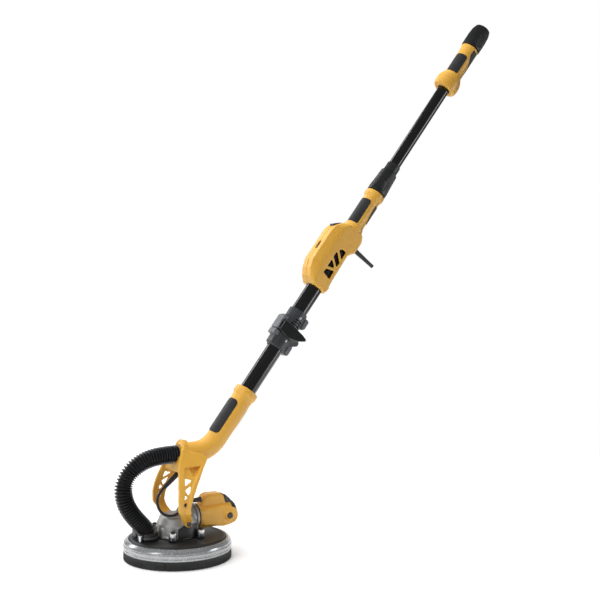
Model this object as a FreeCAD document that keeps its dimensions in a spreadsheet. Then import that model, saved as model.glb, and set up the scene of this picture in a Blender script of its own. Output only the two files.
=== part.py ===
"""Pole drywall sander, a parametric FreeCAD document. Millimetres, +Z up.

The origin is the centre of the sanding face. X is the way the boom leans, Y is the yoke's tilt axis.
Parts on the boom are drawn in the boom's own frame: Z runs up the boom from the point where its axis
meets the ground (a height there is called a station), +X is the boom's underside.
"""
import math
import os

import FreeCAD
import Part
import Sketcher
from FreeCAD import Placement, Rotation, Vector

SIZES = {
    # boom axis
    "boom_lean": 52.0, "boom_foot": -105.0,
    # neck and front grip
    "neck_height": 236.0, "neck_mouth": -4.0, "neck_bend": 73.0, "neck_outer": 24.6,
    "duct_bore": 20.0, "grip_start": 335.0, "grip_end": 443.0,
    "collar_end": 466.0, "collar_outer": 28.4, "pad_rise": 1.3,
    # lower and upper boom tubes
    "tube_outer": 19.8, "tube_inner": 17.8, "lower_tube_start": 365.0,
    # fold joint
    "fold_start": 586.0, "fold_plane": 625.0, "fold_end": 693.0, "clamp_outer": 25.0,
    "hinge_drop": 33.0, "hinge_pin": 4.0, "latch_start": 628.3, "latch_width": 22.0,
    "latch_x": -29.0, "latch_y": -17.0, "latch_pin": 2.2,
    # control housing
    "house_start": 763.0, "house_end": 938.0, "house_top": -53.0, "house_half": 27.0,
    "house_under": 25.0, "house_wall": 3.0, "guard_station": 905.0, "guard_outer": 6.0,
    "guard_length": 70.0, "cord_bore": 4.1, "switch_tilt": -45.0, "rocker_outer": 9.5,
    "dial_station": 853.0, "dial_x": -42.5, "dial_outer": 12.0,
    # middle grip, lock and telescope
    "mid_grip_end": 1033.0, "mid_grip_outer": 21.2, "mid_collar_end": 1051.0,
    "mid_collar_outer": 25.3, "lock_start": 1053.0, "lock_end": 1116.0, "lock_outer": 24.6,
    "collet_end": 1141.0, "collet_outer": 17.5, "stem_outer": 15.15, "stem_inner": 13.6,
    "stem_start": 880.0, "stem_end": 1537.0,
    # rear handle and outlet
    "handle_start": 1387.0, "handle_end": 1524.0, "bulb_outer": 32.3, "handle_outer": 21.4,
    "outlet_start": 1526.0, "outlet_end": 1591.0, "outlet_outer": 25.2, "outlet_bore": 17.5,
    # yoke
    "pivot_x": 3.0, "pivot_height": 86.0, "pivot_half": 50.0, "arm_bow": 70.0,
    "pivot_pin": 4.0,
    # sanding head
    "pad_outer": 112.5, "pad_height": 18.0, "disc_height": 1.2, "ring_outer": 123.0,
    "bristle_height": 20.0, "ring_top": 46.0, "cover_outer": 109.6, "cover_top": 50.0,
    "case_outer": 47.0, "case_top": 98.0, "spindle": 6.0, "crown_outer": 24.0,
    "crown_top": 79.6, "post_reach": 60.0, "post_outer": 8.2, "port_x": -73.0,
    # motor
    "motor_height": 88.0, "motor_start": 47.0, "motor_end": 128.0, "motor_outer": 29.0,
    "motor_bore": 25.0, "motor_back": 146.0, "shaft": 5.0, "brush_x": 117.0, "brush_half": 36.0,
    # dust hose and motor lead
    "hose_outer": 18.5, "lead_outer": 3.2,
}

doc = FreeCAD.newDocument("pole_sander")
sheet = doc.addObject("Spreadsheet::Sheet", "sizes")
sheet.Label = "sizes"
for row, (word, number) in enumerate(SIZES.items(), start=1):
    sheet.set(f"A{row}", word)
    sheet.set(f"B{row}", str(number))
    sheet.setAlias(f"B{row}", word)
doc.recompute()

nodes = []


def value(text):
    """Work out an expression over the sheet's names, given as text or a plain number."""
    found = sheet.evalExpression(bound(text))
    return float(getattr(found, "Value", found))


def bound(text):
    """Put the sheet's name before each of its words."""
    words = []
    word = ""
    for letter in str(text) + " ":
        if letter.isalnum() or letter == "_" or (letter == "." and word.replace(".", "").isdigit()):
            word += letter
            continue
        words.append("sizes." + word if word in SIZES else word)
        words.append(letter)
        word = ""
    return "".join(words).strip()


BOOM = Placement(Vector(value("boom_foot"), 0, 0), Rotation(Vector(0, 1, 0), 90 - value("boom_lean")))


def at(x=0, y=0, z=0, axis="Z"):
    """Placement at a point, with a primitive's own Z turned to the named axis."""
    turns = {"Z": Rotation(), "X": Rotation(Vector(0, 1, 0), 90), "Y": Rotation(Vector(1, 0, 0), -90)}
    return Placement(Vector(value(x), value(y), value(z)), turns[axis])


def node(shape, label, placement=None):
    """Name an object as a finished piece and set where it stands."""
    shape.Label = label
    if placement is not None:
        shape.Placement = placement.multiply(shape.Placement)
    nodes.append(shape)
    return shape


def primitive(kind, place, **sizes):
    """A Part primitive with its sizes bound to the sheet."""
    made = doc.addObject("Part::" + kind, kind.lower())
    for size, text in sizes.items():
        made.setExpression(size, bound(text))
    made.Placement = place
    return made


def rod(radius, length, x=0, y=0, z=0, axis="Z"):
    """A cylinder that starts at a point and runs along an axis."""
    return primitive("Cylinder", at(x, y, z, axis), Radius=radius, Height=length)


def block(x, y, z, length, width, height):
    """A box from its lowest corner."""
    return primitive("Box", at(x, y, z), Length=length, Width=width, Height=height)


def fuse(*parts):
    """All the parts as one solid."""
    made = doc.addObject("Part::MultiFuse", "fusion")
    made.Shapes = list(parts)
    made.Refine = True
    return made


def cut(base, *tools):
    """The base with every tool taken away."""
    made = doc.addObject("Part::Cut", "cut")
    made.Base = base
    made.Tool = tools[0] if len(tools) == 1 else fuse(*tools)
    return made


def common(first, second):
    """What two solids share."""
    made = doc.addObject("Part::Common", "common")
    made.Base = first
    made.Tool = second
    return made


def group(*parts):
    """Separate solids kept together in one piece."""
    made = doc.addObject("Part::Compound", "set")
    made.Links = list(parts)
    return made


def sketch(body, plane, *outlines):
    """A sketch on one of the body's origin planes, with closed outlines of points.

    Each point is a pair of expressions, and both of its distances from the origin are bound.
    """
    made = body.newObject("Sketcher::SketchObject", "outline")
    for feature in body.Origin.OriginFeatures:
        if feature.Role == plane:
            made.AttachmentSupport = [(feature, "")]
    made.MapMode = "FlatFace"
    for outline in outlines:
        corners = [Vector(value(x), value(y), 0) for x, y in outline]
        first = made.GeometryCount
        for index, corner in enumerate(corners):
            made.addGeometry(Part.LineSegment(corner, corners[(index + 1) % len(corners)]), False)
        for index, (x, y) in enumerate(outline):
            line = first + index
            onward = first + (index + 1) % len(corners)
            made.addConstraint(Sketcher.Constraint("Coincident", line, 2, onward, 1))
            for kind, text in (("DistanceX", x), ("DistanceY", y)):
                size = value(text)
                if abs(size) < 1e-9:
                    axis = -2 if kind == "DistanceX" else -1
                    made.addConstraint(Sketcher.Constraint("PointOnObject", line, 1, axis))
                    continue
                number = made.addConstraint(Sketcher.Constraint(kind, -1, 1, line, 1, size))
                made.setExpression(f"Constraints[{number}]", bound(text))
    return made


def new_body():
    """An empty PartDesign body."""
    return doc.addObject("PartDesign::Body", "body")


def turned(outline, axis="V_Axis", plane="XZ_Plane", angle=360):
    """A body turned from an outline of (radius, height) about the sketch's axis."""
    body = new_body()
    drawn = sketch(body, plane, outline)
    turn = body.newObject("PartDesign::Revolution", "turn")
    turn.Profile = drawn
    turn.ReferenceAxis = (drawn, [axis])
    turn.Angle = angle
    turn.Midplane = angle < 360
    return body


def padded(plane, length, *outlines, midplane=True, reverse=False):
    """A body padded from outlines by a length."""
    body = new_body()
    drawn = sketch(body, plane, *outlines)
    pad = body.newObject("PartDesign::Pad", "pad")
    pad.Profile = drawn
    pad.setExpression("Length", bound(length))
    pad.Midplane = midplane
    pad.Reversed = reverse
    return body


def pocket_ring(body, radius, reach, count):
    """Round holes through a body along Z, evenly spaced round its axis."""
    drawn = body.newObject("Sketcher::SketchObject", "holes")
    for feature in body.Origin.OriginFeatures:
        if feature.Role == "XY_Plane":
            drawn.AttachmentSupport = [(feature, "")]
    drawn.MapMode = "FlatFace"
    drawn.addGeometry(Part.Circle(Vector(value(reach), 0, 0), Vector(0, 0, 1), value(radius)), False)
    drawn.addConstraint(Sketcher.Constraint("PointOnObject", 0, 3, -1))
    across = drawn.addConstraint(Sketcher.Constraint("DistanceX", -1, 1, 0, 3, value(reach)))
    drawn.setExpression(f"Constraints[{across}]", bound(reach))
    wide = drawn.addConstraint(Sketcher.Constraint("Radius", 0, value(radius)))
    drawn.setExpression(f"Constraints[{wide}]", bound(radius))
    doc.recompute()
    before = body.Shape.Volume
    hole = body.newObject("PartDesign::Pocket", "hole")
    hole.Profile = drawn
    hole.Type = "ThroughAll"
    hole.Midplane = True
    pattern = body.newObject("PartDesign::PolarPattern", "holes_round")
    pattern.Originals = [hole]
    pattern.Axis = (drawn, ["N_Axis"])
    pattern.Angle = 360
    pattern.Occurrences = count
    body.Tip = pattern
    doc.recompute()
    if body.Shape.Volume >= before:
        raise RuntimeError("the holes cut nothing")
    return body


def tube_along(points, radius):
    """A solid tube on straight runs joined by tangent arcs, each arc as large as its runs allow."""
    corners = [Vector(x, y, z) for x, y, z in points]
    edges = []
    radii = []
    start = corners[0]
    for before, corner, after in zip(corners, corners[1:], corners[2:]):
        back = (before - corner).normalize()
        onward = (after - corner).normalize()
        half = (math.pi - back.getAngle(onward)) / 2
        shorter = min((corner - before).Length, (after - corner).Length)
        reach = 0.45 * shorter
        radii.append(reach / math.tan(half))
        first = corner + back * reach
        last = corner + onward * reach
        inward = (back + onward).normalize()
        middle = corner + inward * (radii[-1] / math.cos(half) - radii[-1])
        edges.append(Part.LineSegment(start, first).toShape())
        edges.append(Part.Arc(first, middle, last).toShape())
        start = last
    edges.append(Part.LineSegment(start, corners[-1]).toShape())
    path = Part.Wire(edges)
    section = Part.Wire(Part.makeCircle(radius, corners[0], corners[1] - corners[0]))
    solid = path.makePipeShell([section], True, True)
    drift = solid.Volume / (math.pi * radius ** 2 * path.Length) - 1
    print(f"tube: length {path.Length:.0f}, least radius {min(radii):.0f}, volume off by {drift:.4f}")
    return solid


def shaped(label, shape, placement=None):
    """A piece whose shape comes from Part's own functions."""
    made = doc.addObject("Part::Feature", label)
    made.Shape = shape
    return node(made, label, placement)


def pads(label, inner, first, last, spread_top, spread_under):
    """Two rubber pads that hug a round grip between two stations, on its top and its underside."""
    pair = []
    for turn, spread in ((180, spread_top), (0, spread_under)):
        low = f"{inner} + 0.02"
        rise = f"{inner} + pad_rise"
        edges = [(low, first), (rise, f"{first} + 2"), (rise, f"{last} - 2"), (low, last)]
        pad = turned(edges, angle=spread)
        pad.Placement = Placement(Vector(), Rotation(Vector(0, 0, 1), turn))
        pair.append(pad)
    return node(group(*pair), label, BOOM)


# ---------------------------------------------------------------- yoke, neck and lower boom

def make_neck():
    """The hollow neck: a level mouth, a bend and a straight grip on the boom's line, on one pipe."""
    lean = math.radians(value("boom_lean"))
    corner_x = value("boom_foot") + value("neck_height") / math.tan(lean)
    tangent = value("neck_bend") * math.tan(lean / 2)
    height = value("neck_height")
    mouth = Vector(value("neck_mouth"), height, 0)
    bend_start = Vector(corner_x - tangent, height, 0)
    bend_end = Vector(corner_x + tangent * math.cos(lean), height + tangent * math.sin(lean), 0)
    centre = Vector(corner_x - tangent, height + value("neck_bend"), 0)
    middle = centre + Vector(math.sin(lean / 2), -math.cos(lean / 2), 0) * value("neck_bend")
    grip_end = Vector(value("boom_foot") + value("grip_end") * math.cos(lean),
                      value("grip_end") * math.sin(lean), 0)
    body = new_body()
    pipes = (("outer", "neck_outer", "AdditivePipe"), ("duct", "duct_bore", "SubtractivePipe"))
    for name, radius, kind in pipes:
        spine = body.newObject("Sketcher::SketchObject", name + "_spine")
        ring = body.newObject("Sketcher::SketchObject", name + "_ring")
        for feature in body.Origin.OriginFeatures:
            if feature.Role == "XZ_Plane":
                spine.AttachmentSupport = [(feature, "")]
            if feature.Role == "YZ_Plane":
                ring.AttachmentSupport = [(feature, "")]
        spine.MapMode = "FlatFace"
        ring.MapMode = "FlatFace"
        spine.addGeometry(Part.LineSegment(mouth, bend_start), False)
        spine.addGeometry(Part.Arc(bend_start, middle, bend_end), False)
        spine.addGeometry(Part.LineSegment(bend_end, grip_end), False)
        ring.AttachmentOffset = Placement(Vector(0, 0, value("neck_mouth")), Rotation())
        ring.addGeometry(Part.Circle(Vector(0, height, 0), Vector(0, 0, 1), value(radius)), False)
        wide = ring.addConstraint(Sketcher.Constraint("Radius", 0, value(radius)))
        ring.setExpression(f"Constraints[{wide}]", bound(radius))
        doc.recompute()
        pipe = body.newObject("PartDesign::" + kind, name)
        pipe.Profile = ring
        pipe.Spine = (spine, ["Edge1", "Edge2", "Edge3"])
    return body


def make_yoke():
    """Neck, saddle, two bowed arms with truss windows, mouth ring and pivot screws."""
    neck = make_neck()
    saddle = padded("YZ_Plane", "57", [("-29", "neck_height"), ("-46", "204.02"), ("46", "204.02"),
                                       ("29", "neck_height")], midplane=False)
    saddle.Placement = Placement(Vector(-12, 0, 0), Rotation())
    throat = rod("neck_outer + 0.02", "90", "-30", "0", "neck_height", axis="X")
    collar = rod("neck_outer + 2.22", "20", "neck_mouth - 19.98", "0", "neck_height", axis="X")
    node(cut(saddle, throat, collar), "yoke_saddle")
    node(neck, "neck_grip_shell")
    mouth = cut(rod("neck_outer + 2.2", "9.9", "neck_mouth - 10", "0", "neck_height", axis="X"),
                rod("hose_outer + 0.3", "20", "neck_mouth - 12", "0", "neck_height", axis="X"))
    node(mouth, "hose_mouth_ring")
    side = [("-13", "203.9"), ("-22", "178"), ("-28.5", "152"), ("-30", "128"), ("-28.5", "111"),
            ("-19", "93"), ("-7", "79"), ("pivot_x - 3", "pivot_height - 9"),
            ("pivot_x + 4", "pivot_height - 9"), ("pivot_x + 8", "pivot_height"), ("7", "98"),
            ("0", "116"), ("8", "147"), ("23", "179"), ("42", "203.9")]
    windows = [[("-9", "195"), ("-9", "170"), ("14", "183")],
               [("-11", "164"), ("9", "173"), ("3", "152")],
               [("-17", "158"), ("-17", "141"), ("-3", "149.5")],
               [("-19", "134"), ("-5", "140"), ("-9.5", "121")]]
    front = [("37", "204"), ("52", "180"), ("arm_bow - 8", "158"), ("arm_bow - 3", "140"),
             ("arm_bow - 3.5", "114"), ("arm_bow - 8", "105"), ("pivot_half - 3", "97"),
             ("pivot_half - 3", "74"), ("pivot_half + 4", "74"), ("pivot_half + 4", "93.2"),
             ("arm_bow - 3", "101"), ("arm_bow + 3.5", "112"), ("arm_bow + 4", "141"),
             ("arm_bow - 1", "161"), ("60", "183"), ("45", "204")]
    for word, sign in (("near", -1), ("far", 1)):
        strip = padded("YZ_Plane", "120", [(f"{sign} * ({y})", z) for y, z in front])
        outline = padded("XZ_Plane", "200", side, *windows)
        bore = rod("pivot_pin", "220", "pivot_x", "-110", "pivot_height", axis="Y")
        node(cut(common(strip, outline), bore), f"yoke_arm_{word}")
    pins = []
    for head, shank in (("pivot_half + 4.02", "pivot_half - 13.9"),
                        ("-pivot_half - 7.02", "-pivot_half - 4.1")):
        pins.append(fuse(rod("6.9", "3", "pivot_x", head, "pivot_height", axis="Y"),
                         rod("pivot_pin - 0.05", "18", "pivot_x", shank, "pivot_height", axis="Y")))
    node(group(*pins), "pivot_screws")


def make_lower_boom():
    """Front grip pads and collar, lower tube and the lead's exit sleeve under the saddle."""
    pads("front_grip_pads", "neck_outer", "grip_start + 5", "grip_end - 8", 110, 80)
    collar = turned([("tube_outer + 0.02", "grip_end + 0.02"), ("neck_outer", "grip_end + 0.02"),
                     ("collar_outer", "grip_end + 9"), ("collar_outer", "collar_end - 2"),
                     ("collar_outer - 2", "collar_end"), ("tube_outer + 0.02", "collar_end")])
    node(collar, "front_grip_collar", BOOM)
    node(turned([("tube_inner", "lower_tube_start"), ("tube_outer", "lower_tube_start"),
                 ("tube_outer", "fold_plane - 3"), ("tube_inner", "fold_plane - 3")]), "lower_tube", BOOM)


# ---------------------------------------------------------------- fold joint

def make_fold_joint():
    """Two clamp sleeves hinged under the boom, and the cam lever that locks them."""
    lower = ("fold_start", "fold_plane - 0.2", "fold_plane - 38", "fold_plane")
    upper = ("fold_plane + 0.2", "fold_end", "fold_plane", "fold_plane + 40")
    for label, (first, last, lug_low, lug_high), lugs, ear in (
            ("fold_clamp_lower", lower, ((8.1, 14), (-14, -8.1)), "fold_start + 1"),
            ("fold_clamp_upper", upper, ((-7.9, 7.9),), "fold_plane + 35")):
        solids = [rod("clamp_outer", f"{last} - ({first})", z=first)]
        for low, high in lugs:
            solids.append(block("clamp_outer - 6", low, lug_low, "hinge_drop - clamp_outer + 6", high - low,
                                f"{lug_high} - ({lug_low})"))
            solids.append(rod("7.5", high - low, "hinge_drop", low, "fold_plane", axis="Y"))
        solids.append(block("clamp_outer - 6", -13, ear, "hinge_drop - clamp_outer + 6", 26, 28))
        if label == "fold_clamp_upper":
            solids.append(block("-clamp_outer - 8", -12, "latch_start", 12, 24, "latch_width + 14"))
            for low in ("latch_start - 3", "latch_start + latch_width + 0.3"):
                solids.append(block("-clamp_outer - 8", -21, low, 18, 12, 2.7))
        bore = rod("tube_outer + 0.02", f"{last} - ({first}) + 2", z=f"{first} - 1")
        hinge = rod("hinge_pin + 0.03", "60", "hinge_drop", "-30", "fold_plane", axis="Y")
        axle = rod("latch_pin + 0.03", "60", "latch_x", "latch_y", "fold_plane", axis="Z")
        node(cut(fuse(*solids), bore, hinge, axle), label, BOOM)
    node(rod("hinge_pin", "28.4", "hinge_drop", "-14.2", "fold_plane", axis="Y"), "fold_hinge_pin", BOOM)
    node(turned([("tube_inner", "fold_plane + 3"), ("tube_outer", "fold_plane + 3"),
                 ("tube_outer", "mid_collar_end"), ("tube_inner", "mid_collar_end")]), "upper_tube", BOOM)


def make_latch():
    """The cam lever: a band round the near side of the clamp that ends in a thumb tip."""
    sleeve = cut(rod("clamp_outer + 4.6", "latch_width", z="latch_start"),
                 rod("clamp_outer + 0.6", "latch_width + 2", z="latch_start - 1"))
    near = block(-40, -40, "latch_start", 80, 25.6, "latch_width")
    tip = block(23, -24, "latch_start", 21, 9.4, "latch_width")
    ribs = [block(x, -26, "latch_start", 3, 3, "latch_width") for x in (30, 37)]
    eye = rod("4.5", "latch_width", "latch_x", "latch_y", "latch_start")
    bore = rod("latch_pin + 0.05", "latch_width + 2", "latch_x", "latch_y", "latch_start - 1")
    node(cut(fuse(common(sleeve, near), tip, eye, *ribs), bore), "latch_lever", BOOM)
    node(rod("latch_pin", "latch_width + 6", "latch_x", "latch_y", "latch_start - 3"), "latch_pin", BOOM)


# ---------------------------------------------------------------- control housing

def slanted(x, z, across, tall, lean):
    """A four-sided vent window's corners on the side face."""
    return [(f"{x}", f"{z}"), (f"{x} + {across}", f"{z} + {lean}"),
            (f"{x} + {across}", f"{z} + {lean} + {tall}"), (f"{x}", f"{z} + {tall}")]


def make_housing():
    """Two shells split on the middle plane, with vents, and what sits inside them."""
    outer = [("-19", "house_start"), ("-34", "house_start + 13"), ("-45", "house_start + 30"),
             ("house_top", "house_start + 54"), ("house_top", "house_end - 36"),
             ("house_top + 5", "house_end - 22"),
             ("house_top + 17", "house_end - 7"), ("-26", "house_end"), ("20", "house_end"),
             ("house_under", "house_end - 12"), ("house_under + 8", "house_end - 16"),
             ("house_under + 8", "house_end - 50"), ("house_under", "house_end - 58"),
             ("house_under", "house_start + 6"), ("21", "house_start")]
    inner = [("-20", "house_start + 4"), ("-32", "house_start + 17"), ("-42", "house_start + 33"),
             ("house_top + house_wall", "house_start + 55"), ("house_top + house_wall", "house_end - 37"),
             ("house_top + 9", "house_end - 24"), ("-34", "house_end - 9"), ("-25", "house_end - 4"),
             ("18", "house_end - 4"), ("house_under - 2", "house_end - 14"),
             ("house_under - 2", "house_start + 8"), ("20", "house_start + 4")]
    section = [("house_top", "-house_half + 8"), ("house_top + 8", "-house_half"), ("12", "-house_half"),
               ("house_under", "-15"), ("house_under + 8", "-12"), ("house_under + 8", "12"),
               ("house_under", "15"), ("12", "house_half"), ("house_top + 8", "house_half"),
               ("house_top", "house_half - 8")]
    windows = [slanted(-17, 803, 20, 12, 6), slanted(-17, 820, 22, 12, 6), slanted(-17, 838, 24, 13, -8),
               slanted(-14, 856, 22, 13, -8)]
    for word, sign in (("near", False), ("far", True)):
        shell = padded("XZ_Plane", "house_half", outer, midplane=False, reverse=sign)
        tube_side = padded("XY_Plane", "2 * house_end", section)
        hollow = padded("XZ_Plane", "2 * (house_half - house_wall)", inner)
        vents = padded("XZ_Plane", "3 * house_half", *windows)
        tools = [hollow, vents, rod("tube_outer + 0.02", "260", z="house_start - 40"),
                 block("house_top - 5", -5, "dial_station - 13", 12, 10, 26),
                 placed_switch(block(-13.1, -9.1, -20, 26.2, 18.2, 40)),
                 rod("guard_outer + 0.1", "24", "house_under - 4", 0, "guard_station", axis="X")]
        node(cut(common(shell, tube_side), *tools), f"control_housing_{word}", BOOM)
    inside = "2 * (house_half - house_wall)"
    node(block("-33", "-house_half + house_wall", "house_end - 68", 1.6, inside, 34), "control_board", BOOM)
    guard = cut(fuse(primitive("Cone", at("house_under + 8", 0, "guard_station", "X"),
                               Radius1="guard_outer", Radius2="guard_outer - 1.4", Height="guard_length"),
                     rod("guard_outer", "11", "house_under - 2.9", 0, "guard_station", axis="X")),
                rod("cord_bore", "guard_length + 30", "house_under - 6", 0, "guard_station", axis="X"))
    node(guard, "cord_guard", BOOM)


def placed_switch(shape):
    """Stand a shape on the housing's upper bevel, where the power switch sits."""
    local = Placement(Vector(value("house_top + 9.5"), 0, value("house_end - 17.5")),
                      Rotation(Vector(0, 1, 0), value("switch_tilt")))
    shape.Placement = local.multiply(shape.Placement)
    return shape


def make_controls():
    """Rocker switch in its frame and the speed wheel on its axle."""
    frame = cut(block(-13, -9, -9, 26, 18, 11), rod("rocker_outer + 0.2", "14.4", 0, -7.2, 0, axis="Y"))
    rocker = common(rod("rocker_outer", "14", 0, -7, 0, axis="Y"), block(-15, -10, -12, 30, 20, 14.5))
    rocker.Placement = Placement(Vector(), Rotation(Vector(0, 1, 0), -7))
    node(placed_switch(frame), "switch_frame", BOOM)
    node(placed_switch(rocker), "power_rocker", BOOM)
    wheel = cut(rod("dial_outer", "8", "dial_x", -4, "dial_station", axis="Y"),
                rod("2.05", "12", "dial_x", -6, "dial_station", axis="Y"))
    node(wheel, "speed_wheel", BOOM)
    node(rod("2", "2 * (house_half - house_wall) - 0.04", "dial_x", "-house_half + house_wall + 0.02",
             "dial_station", axis="Y"), "speed_wheel_axle", BOOM)


# ---------------------------------------------------------------- grips, lock and telescope

def make_upper_grips():
    """Middle grip, its collar, the telescope's collet and the twist lock."""
    bore = "tube_outer + 0.02"
    node(turned([(bore, "house_end + 0.1"), ("mid_grip_outer + 2.6", "house_end + 0.1"),
                 ("mid_grip_outer", "house_end + 14"), ("mid_grip_outer", "mid_grip_end - 9"),
                 ("mid_grip_outer + 2.4", "mid_grip_end"), (bore, "mid_grip_end")]), "middle_grip", BOOM)
    pads("middle_grip_pads", "mid_grip_outer", "house_end + 16", "mid_grip_end - 12", 100, 80)
    node(turned([(bore, "mid_grip_end + 0.02"), ("mid_grip_outer + 2.4", "mid_grip_end + 0.02"),
                 ("mid_collar_outer", "mid_grip_end + 8"), ("mid_collar_outer", "mid_collar_end - 3"),
                 ("mid_collar_outer - 3", "mid_collar_end"), (bore, "mid_collar_end")]), "boom_collar", BOOM)
    node(turned([("stem_outer + 0.1", "mid_collar_end + 0.02"),
                 ("collet_outer + 1.5", "mid_collar_end + 0.02"), ("collet_outer + 1.5", "lock_end"),
                 ("collet_outer", "lock_end + 2"), ("collet_outer", "collet_end"),
                 ("stem_outer + 0.1", "collet_end")]), "lock_collet", BOOM)
    node(turned([("collet_outer + 1.58", "lock_start"), ("lock_outer", "lock_start"),
                 ("lock_outer", "lock_start + 12"), ("lock_outer - 2.2", "lock_start + 30"),
                 ("lock_outer - 3.4", "lock_end"),
                 ("collet_outer + 1.58", "lock_end")]), "lock_sleeve", BOOM)


def make_telescope():
    """The sliding stem with its guide bush, the rear handle and the hose outlet on its end."""
    node(turned([("stem_inner", "stem_start"), ("stem_outer", "stem_start"),
                 ("stem_outer", "stem_end"), ("stem_inner", "stem_end")]), "telescope_stem", BOOM)
    node(turned([("stem_outer + 0.02", "stem_start + 2"), ("tube_inner - 0.08", "stem_start + 2"),
                 ("tube_inner - 0.08", "stem_start + 30"), ("stem_outer + 0.02", "stem_start + 30")]),
         "guide_bush", BOOM)
    bore = "stem_outer + 0.02"
    node(turned([(bore, "handle_start"), ("24", "handle_start"), ("bulb_outer - 1.5", "handle_start + 6"),
                 ("bulb_outer", "handle_start + 16"), ("bulb_outer - 1.5", "handle_start + 32"),
                 ("handle_outer + 4", "handle_start + 43"), ("handle_outer", "handle_start + 50"),
                 ("handle_outer", "handle_end - 8"), ("handle_outer + 2.4", "handle_end"),
                 (bore, "handle_end")]), "rear_handle", BOOM)
    pads("rear_handle_pads", "handle_outer", "handle_start + 52", "handle_end - 24", 100, 80)
    node(turned([("stem_outer + 0.08", "outlet_start"), ("outlet_outer", "outlet_start"),
                 ("outlet_outer", "outlet_start + 46"), ("outlet_outer - 3", "outlet_end - 7"),
                 ("outlet_outer - 5", "outlet_end"), ("outlet_bore", "outlet_end"),
                 ("outlet_bore", "outlet_start + 16"), ("stem_outer + 0.08", "outlet_start + 16")]),
         "hose_outlet", BOOM)


# ---------------------------------------------------------------- sanding head

def make_head():
    """Cover plate, gear case, dust port, spring cups and the lead's sleeve."""
    plate = turned([("20", "cover_top - 3"), ("100", "cover_top - 3"),
                    ("cover_outer - 2.6", "cover_top - 6"), ("cover_outer - 2.6", "cover_top - 9"),
                    ("cover_outer", "cover_top - 9"), ("cover_outer", "cover_top - 6"),
                    ("cover_outer - 5.6", "cover_top"), ("20", "cover_top")])
    holes = [rod("4.3", "20", x, y, "cover_top - 12") for x, y in posts()]
    node(cut(plate, rod("15", "20", "port_x", 0, "cover_top - 12"), *holes), "cover_plate")
    shell = turned([("14.05", "cover_top + 0.02"), ("48.5", "cover_top + 0.02"), ("48.5", "cover_top + 4"),
                    ("case_outer", "cover_top + 6"), ("case_outer", "80"), ("case_outer - 9", "case_top"),
                    ("0", "case_top"), ("0", "case_top - 4"), ("34", "case_top - 4"), ("38", "80"),
                    ("38", "57"), ("18", "57"), ("18", "67"), ("14.05", "67")])
    snout = rod("motor_outer - 2", "28", 10, 0, "motor_height", axis="X")
    bosses = [rod("11", "pivot_half - 33.2", "pivot_x", start, "pivot_height", axis="Y")
              for start in ("30", "-pivot_half + 3.2")]
    tools = [rod("22", "21", 18, 0, "motor_height", axis="X"),
             rod("12", "26", -5, 0, "motor_height", axis="X"),
             rod("34", "15", z="67.5"),
             rod("14.05", "18", z="cover_top"),
             block(38, -60, 57, 30, 120, 80)]
    for start in ("pivot_half - 14", "-pivot_half + 3"):
        tools.append(rod("pivot_pin + 0.03", "11", "pivot_x", start, "pivot_height", axis="Y"))
    node(cut(fuse(shell, snout, *bosses), *tools), "gear_case")
    port = cut(fuse(rod("hose_outer + 4.4", "9", "port_x", 0, "cover_top + 0.02"),
                    block("port_x - 24", 20, "cover_top + 0.02", 16, 20, 14),
                    rod("5", "15", "port_x - 24", -14, "cover_top + 0.02")),
               rod("hose_outer + 2.4", "20", "port_x", 0, "cover_top + 2.5"),
               rod("15", "40", "port_x", 0, "cover_top - 12"))
    node(port, "dust_port")
    cups = []
    for x, y in posts():
        cup = fuse(rod("post_outer", "18", x, y, "cover_top + 0.02"),
                   rod("post_outer + 1", "2.5", x, y, "cover_top + 0.02"))
        cups.append(cut(cup, rod("5", "15.5", x, y, "cover_top")))
    node(group(*cups), "spring_cups")


def posts():
    """The four spring posts, in a square about the spindle."""
    for turn in (55, 125, 235, 305):
        across = math.cos(math.radians(turn))
        along = math.sin(math.radians(turn))
        yield (f"{across:.5f} * post_reach", f"{along:.5f} * post_reach")


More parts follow.
